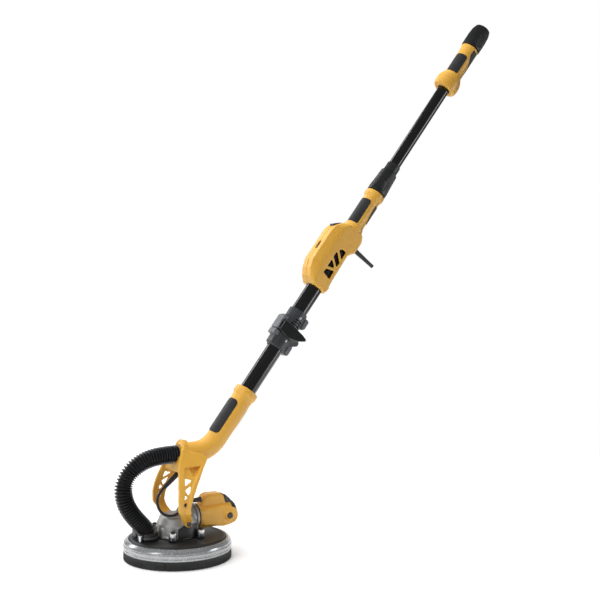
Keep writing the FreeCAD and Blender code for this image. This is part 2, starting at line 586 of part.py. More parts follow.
def make_motor():
    """Flange, gasket, housing with its hump, brush holders, rear cap and stator."""
    line = at(0, 0, "motor_height")
    node(turned([("38.02", "11.05"), ("38.02", "motor_outer + 0.5"),
                 ("motor_start - 3.4", "motor_outer + 0.5"), ("motor_start - 3.4", "11.05")],
                axis="H_Axis"), "motor_flange", line)
    node(turned([("motor_start - 3.38", "14"), ("motor_start - 3.38", "motor_outer - 0.4"),
                 ("motor_start - 0.02", "motor_outer - 0.4"), ("motor_start - 0.02", "14")], axis="H_Axis"),
         "motor_gasket", line)
    length = "motor_end - motor_start"
    solids = [rod("motor_outer", length, "motor_start", 0, "motor_height", axis="X"),
              block("motor_start + 7", -15, "motor_height + 15", 58, 30, 34),
              rod("11", "2 * brush_half", "brush_x", "-brush_half", "motor_height - 1", axis="Y")]
    tools = [rod("motor_bore", f"{length} + 2", "motor_start - 1", 0, "motor_height", axis="X"),
             rod("7", "2 * brush_half + 4", "brush_x", "-brush_half - 2", "motor_height - 1", axis="Y"),
             rod("30", "20", "motor_end", 0, "motor_height", axis="X")]
    node(cut(fuse(*solids), *tools), "motor_housing")
    caps = [rod("6.95", "4", "brush_x", start, "motor_height - 1", axis="Y")
            for start in ("-brush_half - 0.8", "brush_half - 3.2")]
    node(group(*caps), "brush_caps")
    node(turned([("motor_end + 0.02", "motor_bore"), ("motor_end + 0.02", "motor_outer"),
                 ("motor_back - 14", "motor_outer"), ("motor_back - 4", "motor_outer - 4"),
                 ("motor_back", "18"), ("motor_back", "0"),
                 ("motor_back - 8.5", "0"), ("motor_back - 8.5", "11.05"),
                 ("motor_back - 17.5", "11.05"), ("motor_back - 17.5", "14"),
                 ("motor_back - 10", "14"), ("motor_back - 10", "20"),
                 ("motor_back - 15", "motor_bore")], axis="H_Axis"), "motor_cap", line)
    node(turned([("60", "18"), ("60", "motor_bore - 0.05"), ("104", "motor_bore - 0.05"), ("104", "18")],
                axis="H_Axis"), "stator", line)
    rings = []
    for first, last in (("38.04", "motor_start - 3.5"), ("motor_back - 17.4", "motor_back - 10")):
        ring = turned([(first, "shaft + 0.05"), (first, "11"), (last, "11"), (last, "shaft + 0.05")],
                      axis="H_Axis")
        ring.Placement = line
        rings.append(ring)
    for first, last in (("cover_top + 0.1", "57"), ("60", "66.9")):
        rings.append(turned([("spindle + 0.05", first), ("14", first), ("14", last),
                             ("spindle + 0.05", last)]))
    node(group(*rings), "bearings")


def toothed(label, count, tip, root, width, placement):
    """A gear blank with straight teeth, tips wide and roots narrow, as thick as its width."""
    corners = []
    for number in range(count):
        for part, radius in ((0.0, root), (0.2, tip), (0.5, tip), (0.7, root)):
            turn = 2 * math.pi * (number + part) / count
            corners.append(Vector(math.cos(turn), math.sin(turn), 0) * value(radius))
    outline = Part.Face(Part.makePolygon(corners + corners[:1]))
    return shaped(label, outline.extrude(Vector(0, 0, value(width))), placement)


def make_drive():
    """Armature with pinion, spindle with crown gear, and the pad that it turns."""
    line = at(0, 0, "motor_height")
    node(turned([("24.02", "0"), ("24.02", "shaft"), ("49", "shaft"), ("49", "22"), ("55", "22"),
                 ("55", "8"), ("60", "8"), ("60", "17"), ("104", "17"), ("104", "10"), ("122", "10"),
                 ("122", "shaft"), ("motor_back - 8.6", "shaft"), ("motor_back - 8.6", "0")],
                axis="H_Axis"), "armature", line)
    toothed("pinion", 15, "8.2", "6.4", "12", at(12, 0, "motor_height", "X"))
    toothed("crown_gear", 43, "crown_outer", "crown_outer - 2", "crown_top - 72", at(0, 0, 72))
    node(turned([("0", "24.02"), ("16", "24.02"), ("16", "27"), ("spindle", "27"), ("spindle", "71.98"),
                 ("0", "71.98")]), "spindle")
    pad = turned([("0", "disc_height + 0.02"), ("pad_outer", "disc_height + 0.02"),
                  ("pad_outer", "pad_height - 6"), ("pad_outer - 4", "pad_height"),
                  ("30", "pad_height"), ("24", "24"), ("0", "24")])
    node(pocket_ring(pad, "6", "80", 8), "backing_pad")
    disc = turned([("0", "0"), ("pad_outer - 0.2", "0"), ("pad_outer - 0.2", "disc_height"),
                   ("0", "disc_height")])
    node(pocket_ring(disc, "6", "80", 8), "abrasive_disc")


def make_brush_ring():
    """The floating ring, its bristles, its guide pins and the springs that press it down."""
    ring = turned([("ring_outer - 5.4", "bristle_height + 0.02"), ("ring_outer", "bristle_height + 0.02"),
                   ("ring_outer", "38"), ("ring_outer - 2.5", "42"), ("ring_outer - 8.5", "ring_top"),
                   ("111", "ring_top"), ("111", "ring_top - 3"), ("ring_outer - 8", "39.5"),
                   ("ring_outer - 5.4", "34"), ("46", "34"), ("46", "31"), ("ring_outer - 5.4", "31")])
    node(pocket_ring(ring, "14", "84", 6), "brush_ring")
    bristles = turned([("pad_outer + 2.5", "0"), ("ring_outer - 0.5", "0"),
                       ("ring_outer - 0.5", "bristle_height"), ("pad_outer + 2.5", "bristle_height")])
    slit = block(0, -1, -1, 140, 2, "bristle_height + 2")
    slit.Placement = Placement(Vector(), Rotation(Vector(0, 0, 1), -128)).multiply(slit.Placement)
    node(cut(bristles, slit), "bristle_skirt")
    node(group(*[rod("4.2", "18", x, y, "34.02") for x, y in posts()]), "guide_pins")
    springs = [cut(rod("3.9", "13", x, y, "52.2"), rod("2.7", "15", x, y, "51")) for x, y in posts()]
    node(group(*springs), "ring_springs")


# ---------------------------------------------------------------- dust hose and motor lead

HOSE_ROUTE = [(-5, 0, 236), (-42, 0, 236.5), (-84, 0, 228), (-118, 0, 203), (-132, 0, 169), (-125, 0, 133),
              (-105, 0, 102), (-85, 0, 82), (-75, 0, 66), (-73, 0, 57)]
LEAD_ROUTE = [(-31, 0, 163), (-42, 0, 153.7), (-52, -5, 139), (-55, -15, 123), (-50, -27, 110),
              (-36, -35, 104), (-20, -35, 105.5), (-5, -29, 111), (8, -20, 119), (20, -13, 125),
              (34, -10, 127)]


def make_soft_parts():
    """The bellows hose and the motor lead, and the sleeves the lead runs in."""
    shaped("dust_hose", tube_along(HOSE_ROUTE, value("hose_outer")))
    shaped("motor_lead", tube_along(LEAD_ROUTE, value("lead_outer")))
    start = Vector(8, 0, 196)
    end = Vector(*LEAD_ROUTE[0])
    cone = Part.makeCone(6.6, 5, (end - start).Length, start, end - start)
    knob = Part.makeCylinder(8, 10, Vector(8, 0, 194), Vector(0, 0, 1))
    shaped("lead_sleeve_neck", knob.fuse(cone).removeSplitter())
    start = Vector(*LEAD_ROUTE[-1])
    shaped("lead_sleeve_motor", Part.makeCone(4.6, 6, 19.2, start + Vector(0.8, 0, 0.5), Vector(1, 0, 0)))


def main():
    """Build every piece, test each one and write it as STEP."""
    make_yoke()
    make_lower_boom()
    make_fold_joint()
    make_latch()
    make_housing()
    make_controls()
    make_upper_grips()
    make_telescope()
    make_head()
    make_motor()
    make_drive()
    make_brush_ring()
    make_soft_parts()
    doc.recompute()
    for item in doc.Objects:
        if "Invalid" in item.State or "Error" in item.State:
            raise RuntimeError(f"{item.Label} failed: {item.State}")
    os.makedirs("parts", exist_ok=True)
    for piece in nodes:
        if piece.Shape.isNull() or not piece.Shape.isValid():
            raise RuntimeError(f"{piece.Label} has no valid shape")
        print(f"{piece.Label}: {len(piece.Shape.Solids)} solids, {piece.Shape.Volume / 1000:.1f} cm3")
        piece.Shape.exportStep(f"parts/{piece.Label}.step")


main()
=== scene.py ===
"""Pole drywall sander: the visible model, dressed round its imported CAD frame.

Everything is in the frame's own metres, +Z up. Sizes are written in millimetres, as a maker draws
them, and an Axes turns them into metres where the piece stands. Parts on the boom are drawn in the
boom's axes: z runs up the boom from the point where its line meets the ground, x is its underside.
"""

import logging
import math
from collections.abc import Callable, Iterable, Sequence
from dataclasses import dataclass, field
from enum import Enum

import bmesh
import bpy
import numpy as np
from mathutils import Matrix, Vector
from mathutils.geometry import tessellate_polygon


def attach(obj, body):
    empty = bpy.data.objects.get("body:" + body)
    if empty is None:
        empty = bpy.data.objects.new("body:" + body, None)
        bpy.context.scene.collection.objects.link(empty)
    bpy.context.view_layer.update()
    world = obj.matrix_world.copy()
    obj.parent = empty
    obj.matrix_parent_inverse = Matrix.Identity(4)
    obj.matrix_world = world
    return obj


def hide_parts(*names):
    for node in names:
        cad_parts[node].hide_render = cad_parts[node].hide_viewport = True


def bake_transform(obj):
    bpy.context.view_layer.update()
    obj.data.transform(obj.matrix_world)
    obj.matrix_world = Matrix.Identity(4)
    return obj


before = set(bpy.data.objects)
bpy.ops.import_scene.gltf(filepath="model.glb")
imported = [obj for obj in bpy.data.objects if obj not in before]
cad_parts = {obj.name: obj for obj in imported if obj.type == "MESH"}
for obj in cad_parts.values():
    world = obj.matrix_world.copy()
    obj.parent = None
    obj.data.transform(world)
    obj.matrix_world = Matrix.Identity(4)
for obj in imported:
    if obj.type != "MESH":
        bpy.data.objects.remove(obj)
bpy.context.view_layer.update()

MM = 0.001
Array = np.ndarray
Pair = tuple[float, float]
Triple = tuple[float, float, float]
log = logging.getLogger("pole_sander")


# ---------------------------------------------------------------- where things stand

@dataclass(frozen=True)
class Axes:
    """A right-handed set of axes standing somewhere in the frame, its origin in millimetres."""

    origin: Triple = (0.0, 0.0, 0.0)
    x: Triple = (1.0, 0.0, 0.0)
    y: Triple = (0.0, 1.0, 0.0)
    z: Triple = (0.0, 0.0, 1.0)

    def place(self, points: Array) -> Array:
        """Points drawn along the axes, in metres in the frame: origin + x a + y b + z c.

        Args:
            points: any array whose last side is (a, b, c) in millimetres.
        Returns:
            An array of the same shape in metres.
        """
        return (np.array(self.origin) + np.asarray(points, float) @ np.array((self.x, self.y, self.z))) * MM

    def moved(self, x: float = 0.0, y: float = 0.0, z: float = 0.0) -> "Axes":
        """The same axes with their origin shifted along themselves, in millimetres."""
        shift = np.array((x, y, z)) @ np.array((self.x, self.y, self.z))
        return Axes(tuple(np.array(self.origin) + shift), self.x, self.y, self.z)

    def turned(self, about: int, degrees: float) -> "Axes":
        """The same axes turned by an angle about their own axis 0, 1 or 2."""
        basis = np.array((self.x, self.y, self.z))
        turn = np.array(Matrix.Rotation(math.radians(degrees), 3, Vector(basis[about])))
        x, y, z = (tuple(turn @ side) for side in basis)
        return Axes(self.origin, x, y, z)


LEAN = math.radians(52)
GROUND = Axes()
BOOM_FOOT = -105.0
TUBE_BORE = 19.84
COVER_TOP = 50.05
PIVOT_X, PIVOT_Z = 3.0, 86.0
BOOM = Axes((BOOM_FOOT, 0.0, 0.0), (math.sin(LEAN), 0.0, -math.cos(LEAN)), (0.0, 1.0, 0.0),
            (math.cos(LEAN), 0.0, math.sin(LEAN)))
MOTOR = Axes((0.0, 0.0, 88.0), (0.0, 0.0, -1.0), (0.0, 1.0, 0.0), (1.0, 0.0, 0.0))
NEAR = Axes((0.0, 0.0, 0.0), (1.0, 0.0, 0.0), (0.0, 0.0, 1.0), (0.0, -1.0, 0.0))
BOOM_SIDE = Axes(BOOM.origin, BOOM.x, BOOM.z, tuple(-np.array(BOOM.y)))


def outward(sign: float, x: float, z: float, out: float = 0.0) -> Axes:
    """Axes whose z runs out of the tool's near side (sign -1) or its far side (sign 1)."""
    return Axes((x, sign * out, z), (1.0, 0.0, 0.0), (0.0, 0.0, -sign), (0.0, sign, 0.0))


# ---------------------------------------------------------------- surfaces as whole arrays

def unit(vectors: Array) -> Array:
    """Every vector divided by its own length."""
    return vectors / np.maximum(np.linalg.norm(vectors, axis=-1, keepdims=True), 1e-12)


def smoothstep(low: float, high: float, x: Array) -> Array:
    """0 below low, 1 above high, and 3k^2 - 2k^3 of the share k between them."""
    k = np.clip((np.asarray(x, float) - low) / (high - low), 0.0, 1.0)
    return k * k * (3.0 - 2.0 * k)


def rounded(corners: Sequence[Pair], radius: float | Sequence[float], steps: int = 5,
            closed: bool = True) -> Array:
    """An outline whose corners are arcs tangent to both their sides.

    An arc's centre lies on the corner's bisector at radius / sin(half the angle), and its points are
    its two end spokes blended by sin((1-k)t) and sin(kt) over sin(t), with t the angle it turns.

    Args:
        corners: the outline's corners, in millimetres.
        radius: one radius for all corners, or one for each; a radius too large for its sides shrinks.
        steps: points on each arc.
        closed: False for an open line, whose two ends stay as they are.
    Returns:
        The points, (n, 2).
    """
    p = np.asarray(corners, float)
    radii = np.broadcast_to(np.asarray(radius, float), (len(p),))
    before, after = np.roll(p, 1, 0), np.roll(p, -1, 0)
    a, b = unit(before - p), unit(after - p)
    half = np.arccos(np.clip((a * b).sum(1), -0.99999, 0.99999)) / 2
    shorter = np.minimum(np.linalg.norm(before - p, axis=1), np.linalg.norm(after - p, axis=1))
    reach = np.minimum(radii / np.tan(half), 0.48 * shorter)
    centre = p + unit(a + b) * (reach * np.tan(half) / np.sin(half))[:, None]
    turn = (np.pi - 2 * half)[:, None, None]
    k = np.linspace(0.0, 1.0, steps)[None, :, None]
    first = (p + a * reach[:, None] - centre)[:, None]
    last = (p + b * reach[:, None] - centre)[:, None]
    arcs = centre[:, None] + (np.sin((1 - k) * turn) * first + np.sin(k * turn) * last) / np.sin(turn)
    if closed:
        return arcs.reshape(-1, 2)
    return np.vstack((p[:1], arcs[1:-1].reshape(-1, 2), p[-1:]))


def inset(outline: Array, distance: float) -> Array:
    """A closed outline moved inwards along its normals, which are the mean of its sides' normals."""
    onward = unit(np.roll(outline, -1, 0) - outline)
    tangent = unit(onward + np.roll(onward, 1, 0))
    normal = np.stack((-tangent[:, 1], tangent[:, 0]), 1)
    x, y = outline[:, 0], outline[:, 1]
    area = (x * np.roll(y, -1) - np.roll(x, -1) * y).sum()
    return outline + normal * distance * (1.0 if area > 0 else -1.0)


def angles(count: int) -> Array:
    """Equal steps once round, in radians, without the last that meets the first."""
    return np.linspace(0.0, 2 * np.pi, count, endpoint=False)


def rod(radius: float, low: float, high: float) -> Array:
    """A plain cylinder's profile, from the axis at its low end to the axis at its high end."""
    return np.array([(0.0, low), (radius, low), (radius, high), (0.0, high)])


def polar(radius: float, degrees: float) -> Pair:
    """A point on a circle, as x and y."""
    return radius * math.cos(math.radians(degrees)), radius * math.sin(math.radians(degrees))


def lifted(loop: Array, height: float) -> Array:
    """A flat outline as points at one height, (n, 3)."""
    return np.column_stack((loop, np.full(len(loop), height)))


def circle(radius: float, points: int = 48, x: float = 0.0, y: float = 0.0) -> Array:
    """A circle's points, (n, 2), in millimetres."""
    angle = angles(points)
    return np.stack((x + radius * np.cos(angle), y + radius * np.sin(angle)), 1)


def turn(profile: Array, around: int = 96,
         ripple: Callable[[Array, Array], Array] | None = None) -> Array:
    """A profile carried round its third axis: (r cos a, r sin a, h), with r = radius + ripple(a, h).

    Args:
        profile: (radius, height) pairs in millimetres.
        around: points round the axis.
        ripple: gives what is added to the radius for each angle and height.
    Returns:
        A grid of points, (profile, around, 3).
    """
    angle = angles(around)[None, :]
    height = np.broadcast_to(profile[:, 1:2], (len(profile), around))
    radius = np.broadcast_to(profile[:, 0:1], height.shape)
    if ripple is not None:
        radius = radius + ripple(angle, height)
    return np.stack((radius * np.cos(angle), radius * np.sin(angle), height), -1)


def sweep(path: Array, radius: Array | float, around: int = 32, reference: Triple = (0, 1, 0)) -> Array:
    """A round section carried along a path: p + r (s cos a + n sin a), s and n square to the tangent.

    Args:
        path: (n, 3) points in millimetres.
        radius: the section's radius, one for all or one at each point.
        around: points round the section.
        reference: a direction that the path never follows, which keeps the section from twisting.
    Returns:
        A grid of points, (n, around, 3).
    """
    tangent = unit(np.gradient(path, axis=0))
    side = unit(np.cross(tangent, np.array(reference, float)))
    normal = np.cross(side, tangent)
    angle = angles(around)[None, :, None]
    size = np.broadcast_to(np.asarray(radius, float), (len(path),))[:, None, None]
    return path[:, None] + size * (side[:, None] * np.cos(angle) + normal[:, None] * np.sin(angle))


def evenly(path: Array, count: int) -> Array:
    """A path's points at equal steps of its own length."""
    along = np.concatenate(([0.0], np.cumsum(np.linalg.norm(np.diff(path, axis=0), axis=1))))
    where = np.linspace(0.0, along[-1], count)
    return np.stack([np.interp(where, along, path[:, k]) for k in range(path.shape[1])], 1)


@dataclass
class Shell:
    """Surfaces gathered into one mesh: points in metres, and faces by their points' numbers."""

    points: list[Array] = field(default_factory=list)
    faces: list[list[int]] = field(default_factory=list)
    count: int = 0

    def add(self, points: Array, faces: list[list[int]]) -> "Shell":
        """Points in metres and faces that number them from nought."""
        self.points.append(points.reshape(-1, 3))
        self.faces.extend([[n + self.count for n in face] for face in faces])
        self.count += len(self.points[-1])
        return self

    def join(self, other: "Shell") -> "Shell":
        """Another shell's surfaces beside this one's."""
        return self.add(np.vstack(other.points), other.faces)

    def grid(self, points: Array, rows_meet: bool = False, columns_meet: bool = False) -> "Shell":
        """Four-sided faces over a grid of points.

        Args:
            points: (rows, columns, 3) in metres.
            rows_meet: the last row joins the first.
            columns_meet: the last column joins the first.
        """
        rows, columns = points.shape[:2]
        number = np.arange(rows * columns).reshape(rows, columns)
        if rows_meet:
            number = np.vstack((number, number[:1]))
        if columns_meet:
            number = np.hstack((number, number[:, :1]))
        quads = np.stack((number[:-1, :-1], number[:-1, 1:], number[1:, 1:], number[1:, :-1]), -1)
        return self.add(points, quads.reshape(-1, 4).tolist())

    def cap(self, *loops: Array) -> "Shell":
        """A flat face inside the first loop and outside the others, as triangles."""
        triangles = tessellate_polygon([[Vector(p) for p in loop] for loop in loops])
        return self.add(np.vstack(loops), [list(t) for t in triangles])

    def lathe(self, axes: Axes, profile: Array, around: int = 96, closed: bool = False,
              ripple: Callable[[Array, Array], Array] | None = None) -> "Shell":
        """A turned surface; an open profile starts and ends on the axis, a closed one is a ring."""
        return self.grid(axes.place(turn(profile, around, ripple)), closed, True)

    def tube(self, path: Array, radius: Array | float, around: int = 32,
             reference: Triple = (0, 1, 0)) -> "Shell":
        """A closed solid tube along a path in millimetres, each end drawn in to a point."""
        rings = sweep(path, radius, around, reference)
        ends = np.broadcast_to(path[[0, -1]][:, None], (2, around, 3))
        return self.grid(GROUND.place(np.concatenate((ends[:1], rings, ends[1:]))), False, True)

    def stacked(self, axes: Axes, loops: Sequence[Array]) -> "Shell":
        """A solid through loops of as many points each, closed flat over the first and the last."""
        rows = axes.place(np.stack(loops))
        return self.grid(rows, False, True).cap(rows[0]).cap(rows[-1])

    def prism(self, axes: Axes, loop: Array, low: float, high: float) -> "Shell":
        """A sharp-edged solid between two heights."""
        return self.stacked(axes, (lifted(loop, low), lifted(loop, high)))

    def plate(self, axes: Axes, outline: Array, low: float, high: float, edge: float = 1.0,
              holes: Iterable[Array] = (), steps: int = 4) -> "Shell":
        """A flat plate between two heights, its edges and its holes' edges rounded.

        The outline shrinks by edge (1 - cos q) and rises by edge (1 - sin q) as q runs from 0 to a
        quarter turn, so its rim is a quarter circle at both faces.

        Args:
            axes: the outline lies in their x and y, and the plate's thickness runs along z.
            outline: the outer loop, (n, 2) in millimetres.
            low, high: the two faces' heights.
            edge: the rim's radius.
            holes: inner loops.
            steps: points on each quarter circle.
        """
        q = np.linspace(0.0, np.pi / 2, steps)
        rise = edge * (1 - np.sin(q))[::-1]
        shrink = edge * (1 - np.cos(q))[::-1]
        levels = [*zip(low + rise, shrink), *zip((high - rise)[::-1], shrink[::-1])]
        stacks = []
        for loop, sign in [(outline, 1.0)] + [(hole, -1.0) for hole in holes]:
            rings = [lifted(inset(loop, sign * by), at) for at, by in levels]
            stacks.append(axes.place(np.stack(rings)))
            self.grid(stacks[-1], False, True)
        self.cap(*[stack[0] for stack in stacks])
        return self.cap(*[stack[-1] for stack in stacks])

    def slab(self, front: Array, back: Array) -> "Shell":
        """Two grids of the same size, in metres, joined round their borders into a closed body."""
        def border(g: Array) -> Array:
            """The grid's edge points in order, once round."""
            return np.concatenate((g[0, :-1], g[:-1, -1], g[-1, :0:-1], g[:0:-1, 0]))
        self.grid(front)
        self.grid(back)
        return self.grid(np.stack((border(front), border(back))), False, True)


def to_mesh(name: str, shell: Shell, slices: Iterable[tuple[Triple, Triple]] = ()) -> bpy.types.Mesh:
    """A clean mesh of a shell: doubles merged, no zero faces, outsides facing out.

    Args:
        name: the mesh's name.
        shell: what it is made of.
        slices: planes (point in metres, normal) that divide long faces, for a plate that is bent later.
    Returns:
        The mesh.
    """
    mesh = bpy.data.meshes.new(name)
    mesh.from_pydata(np.vstack(shell.points), [], shell.faces)
    work = bmesh.new()
    work.from_mesh(mesh)
    bmesh.ops.remove_doubles(work, verts=work.verts, dist=2e-6)
    bmesh.ops.dissolve_degenerate(work, edges=work.edges, dist=1e-7)
    for point, normal in slices:
        every = work.verts[:] + work.edges[:] + work.faces[:]
        bmesh.ops.bisect_plane(work, geom=every, dist=1e-7, plane_co=point, plane_no=normal)
    bmesh.ops.recalc_face_normals(work, faces=work.faces)
    work.to_mesh(mesh)
    work.free()
    return mesh


def points_of(mesh: bpy.types.Mesh) -> Array:
    """A mesh's points, (n, 3) in metres."""
    points = np.empty(len(mesh.vertices) * 3)
    mesh.vertices.foreach_get("co", points)
    return points.reshape(-1, 3)


def to_object(name: str, data: bpy.types.ID) -> bpy.types.Object:
    """A mesh, lamp, camera or curve as an object at the origin of the scene."""
    made = bpy.data.objects.new(name, data)
    bpy.context.scene.collection.objects.link(made)
    return made


def settled(made: bpy.types.Object) -> bpy.types.Object:
    """The object with its modifiers worked into its mesh."""
    graph = bpy.context.evaluated_depsgraph_get()
    graph.update()
    mesh = bpy.data.meshes.new_from_object(made.evaluated_get(graph))
    made.modifiers.clear()
    made.data = mesh
    return made


def moulded(name: str, solids: Shell, tools: Shell | None = None, grain: float = 1.2,
            passes: int = 6) -> bpy.types.Object:
    """Overlapping closed shells grown into one skin with softened corners, as a mould gives.

    The tools are taken away first, the skin is then rebuilt on a cubic lattice, and each pass moves a
    point half way to the mean of its neighbours, which turns inner corners into fillets.

    Args:
        name: the piece's name.
        solids: closed shells that may overlap.
        tools: closed shells to take away.
        grain: the lattice's spacing in millimetres.
        passes: how many times it is softened.
    Returns:
        The piece, with nothing live on it.
    """
    made = to_object(name, to_mesh(name, solids))
    cutter = None
    if tools is not None:
        cutter = to_object(name + ".cutter", to_mesh(name + ".cutter", tools))
        taken = made.modifiers.new("less", "BOOLEAN")
        taken.operation = "DIFFERENCE"
        taken.solver = "EXACT"
        taken.use_self = True
        taken.object = cutter
    skin = made.modifiers.new("skin", "REMESH")
    skin.mode = "VOXEL"
    skin.voxel_size = grain * MM
    soft = made.modifiers.new("soft", "SMOOTH")
    soft.factor = 0.5
    soft.iterations = passes
    settled(made)
    if cutter is not None:
        bpy.data.objects.remove(cutter)
    return made


# ---------------------------------------------------------------- finishes

class Pattern(Enum):
    """How a surface was made, which sets the relief that its finish carries."""

    MOULDED = "moulded"
    DRAWN = "drawn"
    CAST = "cast"
    TURNED = "turned"
    FOAM = "foam"
    GRIT = "grit"
    WOVEN = "woven"


def linear(hex_colour: str) -> tuple[float, float, float, float]:
    """An sRGB hex colour as linear red, green, blue and full alpha."""
    parts = np.array([int(hex_colour[k:k + 2], 16) for k in (1, 3, 5)]) / 255
    value = np.where(parts <= 0.04045, parts / 12.92, ((parts + 0.055) / 1.055) ** 2.4)
    return (*(float(v) for v in value), 1.0)


def add_node(tree: bpy.types.NodeTree, kind: str, settings: dict | None = None,
             links: dict | None = None) -> bpy.types.Node:
    """A node with its settings and links.

    Args:
        tree: where it is added.
        kind: Blender's name for the node.
        settings: values by input name or by the node's own property.
        links: output sockets by input name.
    Returns:
        The node.
    """
    node = tree.nodes.new(kind)
    for key, value in (settings or {}).items():
        if hasattr(node, key):
            setattr(node, key, value)
        else:
            node.inputs[key].default_value = value
    for key, source in (links or {}).items():
        tree.links.new(source, node.inputs[key])
    return node


@dataclass(frozen=True)
class Finish:
    """One material: what it is, how it was made, and what that gives the eye.

    colour drifts to drift in soft patches, roughness runs between its two values with the grain, and
    depth is the relief's height. grain is the relief's real size in millimetres; one that is too fine
    for a picture of the whole tool is drawn as coarse as it needs to show.
    """

    name: str
    colour: str
    drift: str
    roughness: Pair
    pattern: Pattern
    grain: float
    depth: float
    metallic: float = 0.0
    ior: float = 1.5
    coat: float = 0.0
    sheen: float = 0.0
    patch: float = 45.0
    lean: float = 0.0

    def relief(self, tree: bpy.types.NodeTree, where: bpy.types.NodeSocket) -> bpy.types.NodeSocket:
        """The height pattern of the way that the surface was made."""
        step = 1.0 / (self.grain * MM)
        if self.pattern in (Pattern.DRAWN, Pattern.TURNED):
            stretch = (step, step, step / 60) if self.pattern is Pattern.DRAWN else (step / 40, step,
                                                                                     step / 40)
            lines = add_node(tree, "ShaderNodeMapping", {"Scale": stretch}, {"Vector": where})
            return add_node(tree, "ShaderNodeTexNoise", {"Scale": 1.0, "Detail": 2.0},
                            {"Vector": lines.outputs["Vector"]}).outputs["Fac"]
        if self.pattern in (Pattern.FOAM, Pattern.GRIT):
            return add_node(tree, "ShaderNodeTexVoronoi", {"Scale": step, "Randomness": 1.0},
                            {"Vector": where}).outputs["Distance"]
        if self.pattern is Pattern.CAST:
            return add_node(tree, "ShaderNodeTexNoise", {"Scale": step, "Detail": 6.0, "Roughness": 0.6},
                            {"Vector": where}).outputs["Fac"]
        return add_node(tree, "ShaderNodeTexNoise", {"Scale": step, "Detail": 3.0, "Roughness": 0.5},
                        {"Vector": where}).outputs["Fac"]

    def material(self) -> bpy.types.Material:
        """The finish as a material, made once.

        Returns:
            The material: a patchy colour and a roughness and bump that follow the relief.
        """
        found = bpy.data.materials.get(self.name)
        if found is not None:
            return found
        made = bpy.data.materials.new(self.name)
        made.use_nodes = True
        tree = made.node_tree
        tree.nodes.clear()
        place = add_node(tree, "ShaderNodeTexCoord").outputs["Object"]
        if self.lean:
            place = add_node(tree, "ShaderNodeMapping", {"Rotation": (0.0, -self.lean, 0.0)},
                             {"Vector": place}).outputs["Vector"]
        height = self.relief(tree, place)
        soft = add_node(tree, "ShaderNodeTexNoise", {"Scale": 1.0 / (self.patch * MM), "Detail": 2.0},
                        {"Vector": place}).outputs["Fac"]
        share = add_node(tree, "ShaderNodeMapRange", {"From Min": 0.35, "From Max": 0.65}, {"Value": soft})
        tint = add_node(tree, "ShaderNodeMix", {"data_type": "RGBA"}, {"Factor": share.outputs["Result"]})
        for socket, colour in ((tint.inputs[6], self.colour), (tint.inputs[7], self.drift)):
            socket.default_value = linear(colour)
        rough = add_node(tree, "ShaderNodeMapRange",
                         {"From Min": 0.3, "From Max": 0.7, "To Min": self.roughness[0],
                          "To Max": self.roughness[1]}, {"Value": height})
        bump = add_node(tree, "ShaderNodeBump", {"Strength": 1.0, "Distance": self.depth * MM},
                        {"Height": height})
        shader = add_node(tree, "ShaderNodeBsdfPrincipled",
                          {"Metallic": self.metallic, "Coat Weight": self.coat, "Coat Roughness": 0.15,
                           "Sheen Weight": self.sheen},
                          {"Base Color": tint.outputs[2], "Roughness": rough.outputs["Result"],
                           "Normal": bump.outputs["Normal"]})
        if not self.metallic:
            shader.inputs["IOR"].default_value = self.ior
        add_node(tree, "ShaderNodeOutputMaterial", {}, {"Surface": shader.outputs["BSDF"]})
        return made


# Injection-moulded ABS in warm yellow, its steel mould spark-eroded: satin, with a faint fine grain.
YELLOW_ABS = Finish("moulded_abs_yellow", "#EDB548", "#E9AF42", (0.32, 0.42), Pattern.MOULDED, 1.4, 0.002,
                    ior=1.53)
# Moulded TPE over the ABS grips: soft, matt, almost black, with a pebbled mould grain.
SOFT_TPE = Finish("moulded_tpe_black", "#202123", "#27282A", (0.58, 0.72), Pattern.MOULDED, 0.9, 0.02,
                  ior=1.5, sheen=0.15)
# Drawn aluminium tube, black anodised and sealed: glossy, its die lines running lengthwise.
BLACK_TUBE = Finish("anodised_aluminium_black", "#0B0B0C", "#0E0E0F", (0.14, 0.2), Pattern.DRAWN, 0.7,
                    0.004, coat=0.3, lean=math.pi / 2 - LEAN)
# Moulded glass-filled nylon, black: satin, the glass giving a slightly uneven grain.
BLACK_NYLON = Finish("moulded_nylon_black", "#18191A", "#1F2022", (0.36, 0.48), Pattern.MOULDED, 1.2,
                     0.01, ior=1.53)
# The same nylon in mid grey, as the fold joint's clamps are.
GREY_NYLON = Finish("moulded_nylon_grey", "#64656B", "#6C6D73", (0.45, 0.58), Pattern.MOULDED, 1.2, 0.01,
                    ior=1.53)
# Dark grey moulded nylon of the clamps' sleeves.
SLATE_NYLON = Finish("moulded_nylon_slate", "#303235", "#383A3E", (0.38, 0.5), Pattern.MOULDED, 1.2, 0.01,
                     ior=1.53)
# Polished moulded ABS, black: the lever and the screw caps, with a clear gloss.
GLOSS_ABS = Finish("polished_abs_black", "#0D0E10", "#131416", (0.2, 0.28), Pattern.MOULDED, 2.0, 0.01,
                   coat=0.4, ior=1.53)
# Extruded PVC-rubber bellows: black, with a dull skin that catches light on the ribs' crests.
HOSE_RUBBER = Finish("bellows_rubber_black", "#17181A", "#1F2022", (0.3, 0.42), Pattern.MOULDED, 1.4,
                     0.05, ior=1.5)
# Extruded PVC lead jacket, black and smooth.
LEAD_PVC = Finish("extruded_pvc_black", "#141517", "#1A1B1D", (0.36, 0.48), Pattern.MOULDED, 1.5, 0.03,
                  ior=1.52)
# Die-cast aluminium, tumbled: grey metal with a skin of small hollows.
CAST_ALUMINIUM = Finish("die_cast_aluminium", "#B4B4B1", "#A6A6A3", (0.42, 0.58), Pattern.CAST, 2.2, 0.12,
                        metallic=0.85)
